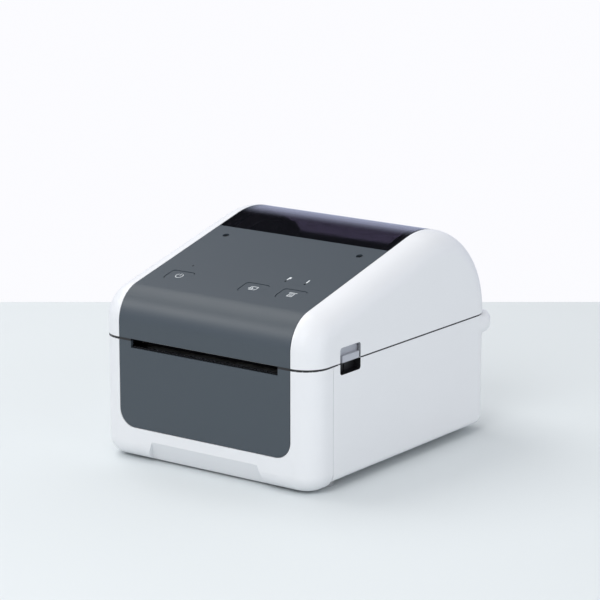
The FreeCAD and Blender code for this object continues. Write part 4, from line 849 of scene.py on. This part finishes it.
class PRINTER_OT_holder_ribs(bpy.types.Operator):
    """Rim, hub rings and radial ribs on the roll holders"""

    bl_idname = "printer.holder_ribs"
    bl_label = "Roll holder ribs"

    def execute(self, context):
        sizes = context.scene.printer_fittings
        for side, facing in (("left", 1), ("right", -1)):
            low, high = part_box("holder_" + side)
            radius = (high.y - low.y) / 2
            centre = Vector((0, (low.y + high.y) / 2, high.z - radius))
            verts = [v.co for v in NODES["holder_" + side].data.vertices]
            away = [(co, math.hypot(co.y - centre.y, co.z - centre.z)) for co in verts]
            inner = [(co, reach) for co, reach in away if reach < radius / 2]
            tip = max(co.x * facing for co, reach in inner) * facing
            hub = max(reach for co, reach in inner if abs(co.x - tip) < WELD)
            face = max(co.x * facing for co, reach in away if abs(reach - radius) < WELD) * facing
            middle = Vector((face, centre.y, centre.z))
            out = ACROSS * facing
            bm = bmesh.new()
            for ring in (radius - sizes.rib_width, hub + sizes.rib_width):
                bead(bm, middle, out, ring, sizes.ring_width, sizes.rib_height)
            start, end = hub + sizes.rib_width * 2, radius - sizes.rib_width * 2
            for i in range(sizes.holder_ribs):
                turn = math.tau * (i + 0.5) / sizes.holder_ribs
                ray = Vector((0, math.cos(turn), math.sin(turn)))
                bar(bm, middle + ray * start, middle + ray * end, out, sizes.rib_width,
                    sizes.ray_height)
            piece("holder_ribs_" + side, bm, side + "_roll_holder", "black")
        return {"FINISHED"}


class PRINTER_OT_deck_parts(bpy.types.Operator):
    """Fine ribs of the deck, knurled guide dial and sensor lens"""

    bl_idname = "printer.deck_parts"
    bl_label = "Deck ribs, dial and lens"

    def ribs(self, sizes):
        low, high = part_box("media_deck")
        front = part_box("guide_right")[1].y + sizes.rib_width
        rear = high.y - sizes.rib_width
        bm = bmesh.new()
        for i in range(sizes.deck_ribs):
            x = (i - (sizes.deck_ribs - 1) / 2) * (high.x - low.x) / (sizes.deck_ribs + 1)
            bar(bm, (x, front, high.z), (x, rear, high.z), UP, sizes.rib_width, sizes.deck_rib)
        piece("deck_ribs", bm, "base", "black")

    def dial(self, sizes):
        low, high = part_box("guide_dial")
        middle = (low + high) / 2
        radius = (high.x - low.x) / 2
        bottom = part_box("media_deck")[1].z + sizes.rib_height
        bm = bmesh.new()
        ring = []
        for i in range(sizes.knurls * 2):
            turn = math.pi * i / sizes.knurls
            reach = radius + (sizes.deck_rib if i % 2 else -sizes.deck_rib / 2)
            ring.append(bm.verts.new((middle.x + reach * math.cos(turn),
                                      middle.y + reach * math.sin(turn), bottom)))
        top = raise_faces(bm, [bm.faces.new(ring)], high.z - bottom + sizes.mark_lift)
        bmesh.ops.inset_region(bm, faces=top, thickness=sizes.rib_width, depth=-sizes.deck_rib)
        piece("dial_knurl", bm, "guide_wheel", "guide")

    def lens(self, sizes):
        low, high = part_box("sensor_carriage")
        centre = Vector(((low.x + high.x) / 2, (low.y + high.y) / 2, high.z))
        bm = bmesh.new()
        bead(bm, centre, UP, sizes.lens, sizes.rib_width, sizes.mark_lift * 2)
        piece("sensor_lens", bm, "mark_sensor", "gloss_black")

    def execute(self, context):
        sizes = context.scene.printer_fittings
        self.ribs(sizes)
        self.dial(sizes)
        self.lens(sizes)
        return {"FINISHED"}


class PRINTER_OT_head_parts(bpy.types.Operator):
    """Heater line and driver cover under the print head"""

    bl_idname = "printer.head_parts"
    bl_label = "Print head parts"

    def execute(self, context):
        sizes = context.scene.printer_fittings
        low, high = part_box("print_head")
        platen_low, platen_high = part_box("platen_sleeve")
        line = (platen_low.y + platen_high.y) / 2
        rear = high.y - sizes.driver_setback
        left, right = low.x + sizes.head_margin, high.x - sizes.head_margin
        bm = bmesh.new()
        bar(bm, (left, line, low.z), (right, line, low.z), -UP, sizes.rib_width, sizes.mark_lift)
        piece("heater_line", bm, "head", "glaze")
        bm = bmesh.new()
        bar(bm, (left, rear, low.z), (right, rear, low.z), -UP, sizes.driver_width,
            sizes.rib_height)
        piece("driver_cover", bm, "head", "black")
        return {"FINISHED"}


class PRINTER_OT_sockets(bpy.types.Operator):
    """Tongue and contacts inside the USB socket"""

    bl_idname = "printer.sockets"
    bl_label = "Socket tongue"

    def execute(self, context):
        sizes = context.scene.printer_fittings
        low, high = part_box("usb_socket")
        middle = (low + high) / 2
        half_x, half_z = sizes.tongue
        root = low.y + sizes.rib_width
        mouth = high.y - sizes.rib_width * 2
        bm = bmesh.new()
        block(bm, (middle.x - half_x, root, middle.z - half_z),
              (middle.x + half_x, mouth, middle.z + half_z), sizes.rib_height / 2)
        piece("usb_tongue", bm, "base", "black")
        bm = bmesh.new()
        for up in (1, -1):
            z = middle.z + half_z * up
            for x in (middle.x - half_x / 2, middle.x + half_x / 2):
                bar(bm, (x, root, z), (x, mouth - sizes.rib_width, z), UP * up, sizes.rib_width,
                    sizes.mark_lift * 3)
        piece("usb_contacts", bm, "base", "gold")
        return {"FINISHED"}


class PRINTER_OT_cross_slots(bpy.types.Operator):
    """Near-black crosses raised on the screw heads: painted shade of their cross slots"""

    bl_idname = "printer.cross_slots"
    bl_label = "Screw slots"

    def cross(self, bm, centre, ways, up):
        sizes = bpy.context.scene.printer_fittings
        for way in ways:
            reach = way * sizes.cross_slot
            bar(bm, centre - reach, centre + reach, up, sizes.cross_width, sizes.mark_lift)

    def execute(self, context):
        low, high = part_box("panel_screws")
        bm = bmesh.new()
        for half in ((low.x, 0.0), (0.0, high.x)):
            self.cross(bm, top_of("panel_screws", *half), (ACROSS, PANEL_BACK), PANEL_OUT)
        # Painted shade: the dark crosses stand in for the shaded recesses of the panel screws
        piece("panel_screw_slot_shade", bm, "cover", "light", smooth=False)
        verts = [v.co for v in NODES["case_screws"].data.vertices]
        base = min(co.z for co in verts)
        heads = [co for co in verts if co.z < base + WELD]
        bm = bmesh.new()
        for side in (-1, 1):
            row = [co for co in heads if co.x * side > 0]
            split = halfway(co.y for co in row)
            for front in (True, False):
                ring = [co for co in row if (co.y < split) == front]
                centre = Vector([halfway(co[k] for co in ring) for k in range(3)])
                self.cross(bm, centre, (ACROSS, BACK), -UP)
        # Painted shade of the case screws' cross recesses
        piece("case_screw_slot_shade", bm, "base", "light", smooth=False)
        return {"FINISHED"}


class PRINTER_OT_stage(bpy.types.Operator):
    """Floor, backdrop, lights and camera"""

    bl_idname = "printer.stage"
    bl_label = "Stage"

    def plane(self, name, corners, rgb):
        bm = bmesh.new()
        bm.faces.new([bm.verts.new(corner) for corner in corners])
        mesh = bpy.data.meshes.new(name)
        bm.to_mesh(mesh)
        bm.free()
        mesh.materials.append(paper(name + "_paper", rgb, rough=0.75))
        item = bpy.data.objects.new(name, mesh)
        bpy.context.scene.collection.objects.link(item)

    def aimed(self, name, data, place, aim):
        """Puts a lamp or camera at a place and turns it to its aim."""
        item = bpy.data.objects.new(name, data)
        item.location = place
        item.rotation_euler = (aim - Vector(place)).to_track_quat("-Z", "Y").to_euler()
        bpy.context.scene.collection.objects.link(item)
        return item

    def lamp(self, name, place, aim, size, energy, tint=(1, 1, 1)):
        data = bpy.data.lights.new(name, "AREA")
        data.shape = "RECTANGLE"
        data.size, data.size_y = size
        data.energy = energy
        data.color = tint
        return self.aimed(name, data, place, aim)

    def room(self, scene):
        """White for the camera, even light for matt faces, and for polished ones a cool room that
        is dark overhead."""
        stage = scene.printer_stage
        scene.world = bpy.data.worlds.new("Studio")
        scene.world.use_nodes = True
        tree = scene.world.node_tree
        shade = tree.nodes["Background"].inputs
        path = tree.nodes.new("ShaderNodeLightPath").outputs
        mirrored = maths(tree, "MAXIMUM", path["Is Glossy Ray"], path["Is Transmission Ray"])
        hue = mix(tree, mirrored, (*stage.backdrop, 1), (*stage.mirror_tint, 1))
        tree.links.new(hue, shade["Color"])
        way = tree.nodes.new("ShaderNodeTexCoord").outputs["Generated"]
        rise = put(tree, "ShaderNodeSeparateXYZ", Vector=way).outputs[2]
        walls = remap(tree, rise, stage.room_ramp, (1.0, stage.room_top))
        unseen = remap(tree, mirrored, target=(stage.sky, walls))
        level = remap(tree, path["Is Camera Ray"], target=(unseen, 1.0))
        tree.links.new(level, shade["Strength"])

    def execute(self, context):
        scene = context.scene
        stage = scene.printer_stage
        away = Vector((-math.sin(stage.azimuth), math.cos(stage.azimuth), 0))
        side = Vector((math.cos(stage.azimuth), math.sin(stage.azimuth), 0))
        half = stage.floor_size / 2
        back = away * stage.floor_back
        front = back - away * half
        self.plane("floor", [front - side * half, front + side * half, back + side * half,
                             back - side * half], stage.floor)
        aim = Vector((0, 0, stage.aim_height))
        data = bpy.data.cameras.new("Camera")
        data.lens = stage.lens
        data.sensor_width = stage.sensor
        data.shift_x = stage.shift_x
        data.shift_y = stage.shift_y
        place = aim - away * stage.distance * math.cos(stage.elevation)
        place.z += stage.distance * math.sin(stage.elevation)
        scene.camera = self.aimed("Camera", data, place, aim)
        self.lamp("Key", stage.key_spot, aim, stage.key_size, stage.key)
        self.lamp("Fill", stage.fill_spot, aim, stage.fill_size, stage.fill, stage.fill_tint)
        self.lamp("Top", stage.top_spot, aim, stage.top_size, stage.top)
        brow = self.lamp("Brow", stage.brow_spot, aim, stage.brow_size, stage.brow)
        brow.visible_diffuse = False  # Mirrored only: it lights no matt face
        self.room(scene)
        scene.view_settings.view_transform = "Standard"
        return {"FINISHED"}


class PRINTER_PT_panel(bpy.types.Panel):
    """Lists the printer's pieces"""

    bl_idname = "PRINTER_PT_panel"
    bl_label = "Label printer"
    bl_space_type = "VIEW_3D"
    bl_region_type = "UI"
    bl_category = "Label printer"

    def draw(self, context):
        for operator in OPERATORS:
            self.layout.operator(operator.bl_idname)


OPERATORS = (
    PRINTER_OT_case, PRINTER_OT_inside, PRINTER_OT_springs, PRINTER_OT_marks, PRINTER_OT_rim_lip,
    PRINTER_OT_window_trim, PRINTER_OT_finger_wells, PRINTER_OT_holder_ribs,
    PRINTER_OT_deck_parts, PRINTER_OT_head_parts, PRINTER_OT_sockets, PRINTER_OT_cross_slots,
    PRINTER_OT_stage,
)
GROUPS = {
    "printer_finish": PrinterFinish,
    "printer_fittings": PrinterFittings,
    "printer_stage": PrinterStage,
}


def register():
    for name, kind in GROUPS.items():
        bpy.utils.register_class(kind)
        setattr(bpy.types.Scene, name, PointerProperty(type=kind))
    for kind in (*OPERATORS, PRINTER_PT_panel):
        bpy.utils.register_class(kind)


def unregister():
    for kind in reversed((*OPERATORS, PRINTER_PT_panel)):
        bpy.utils.unregister_class(kind)
    for name, kind in GROUPS.items():
        delattr(bpy.types.Scene, name)
        bpy.utils.unregister_class(kind)


def main():
    register()
    bpy.ops.printer.case()
    bpy.ops.printer.inside()
    bpy.ops.printer.springs()
    bpy.ops.printer.marks()
    bpy.ops.printer.rim_lip()
    bpy.ops.printer.window_trim()
    bpy.ops.printer.finger_wells()
    bpy.ops.printer.holder_ribs()
    bpy.ops.printer.deck_parts()
    bpy.ops.printer.head_parts()
    bpy.ops.printer.sockets()
    bpy.ops.printer.cross_slots()
    bpy.ops.printer.stage()


if __name__ == "__main__":
    main()
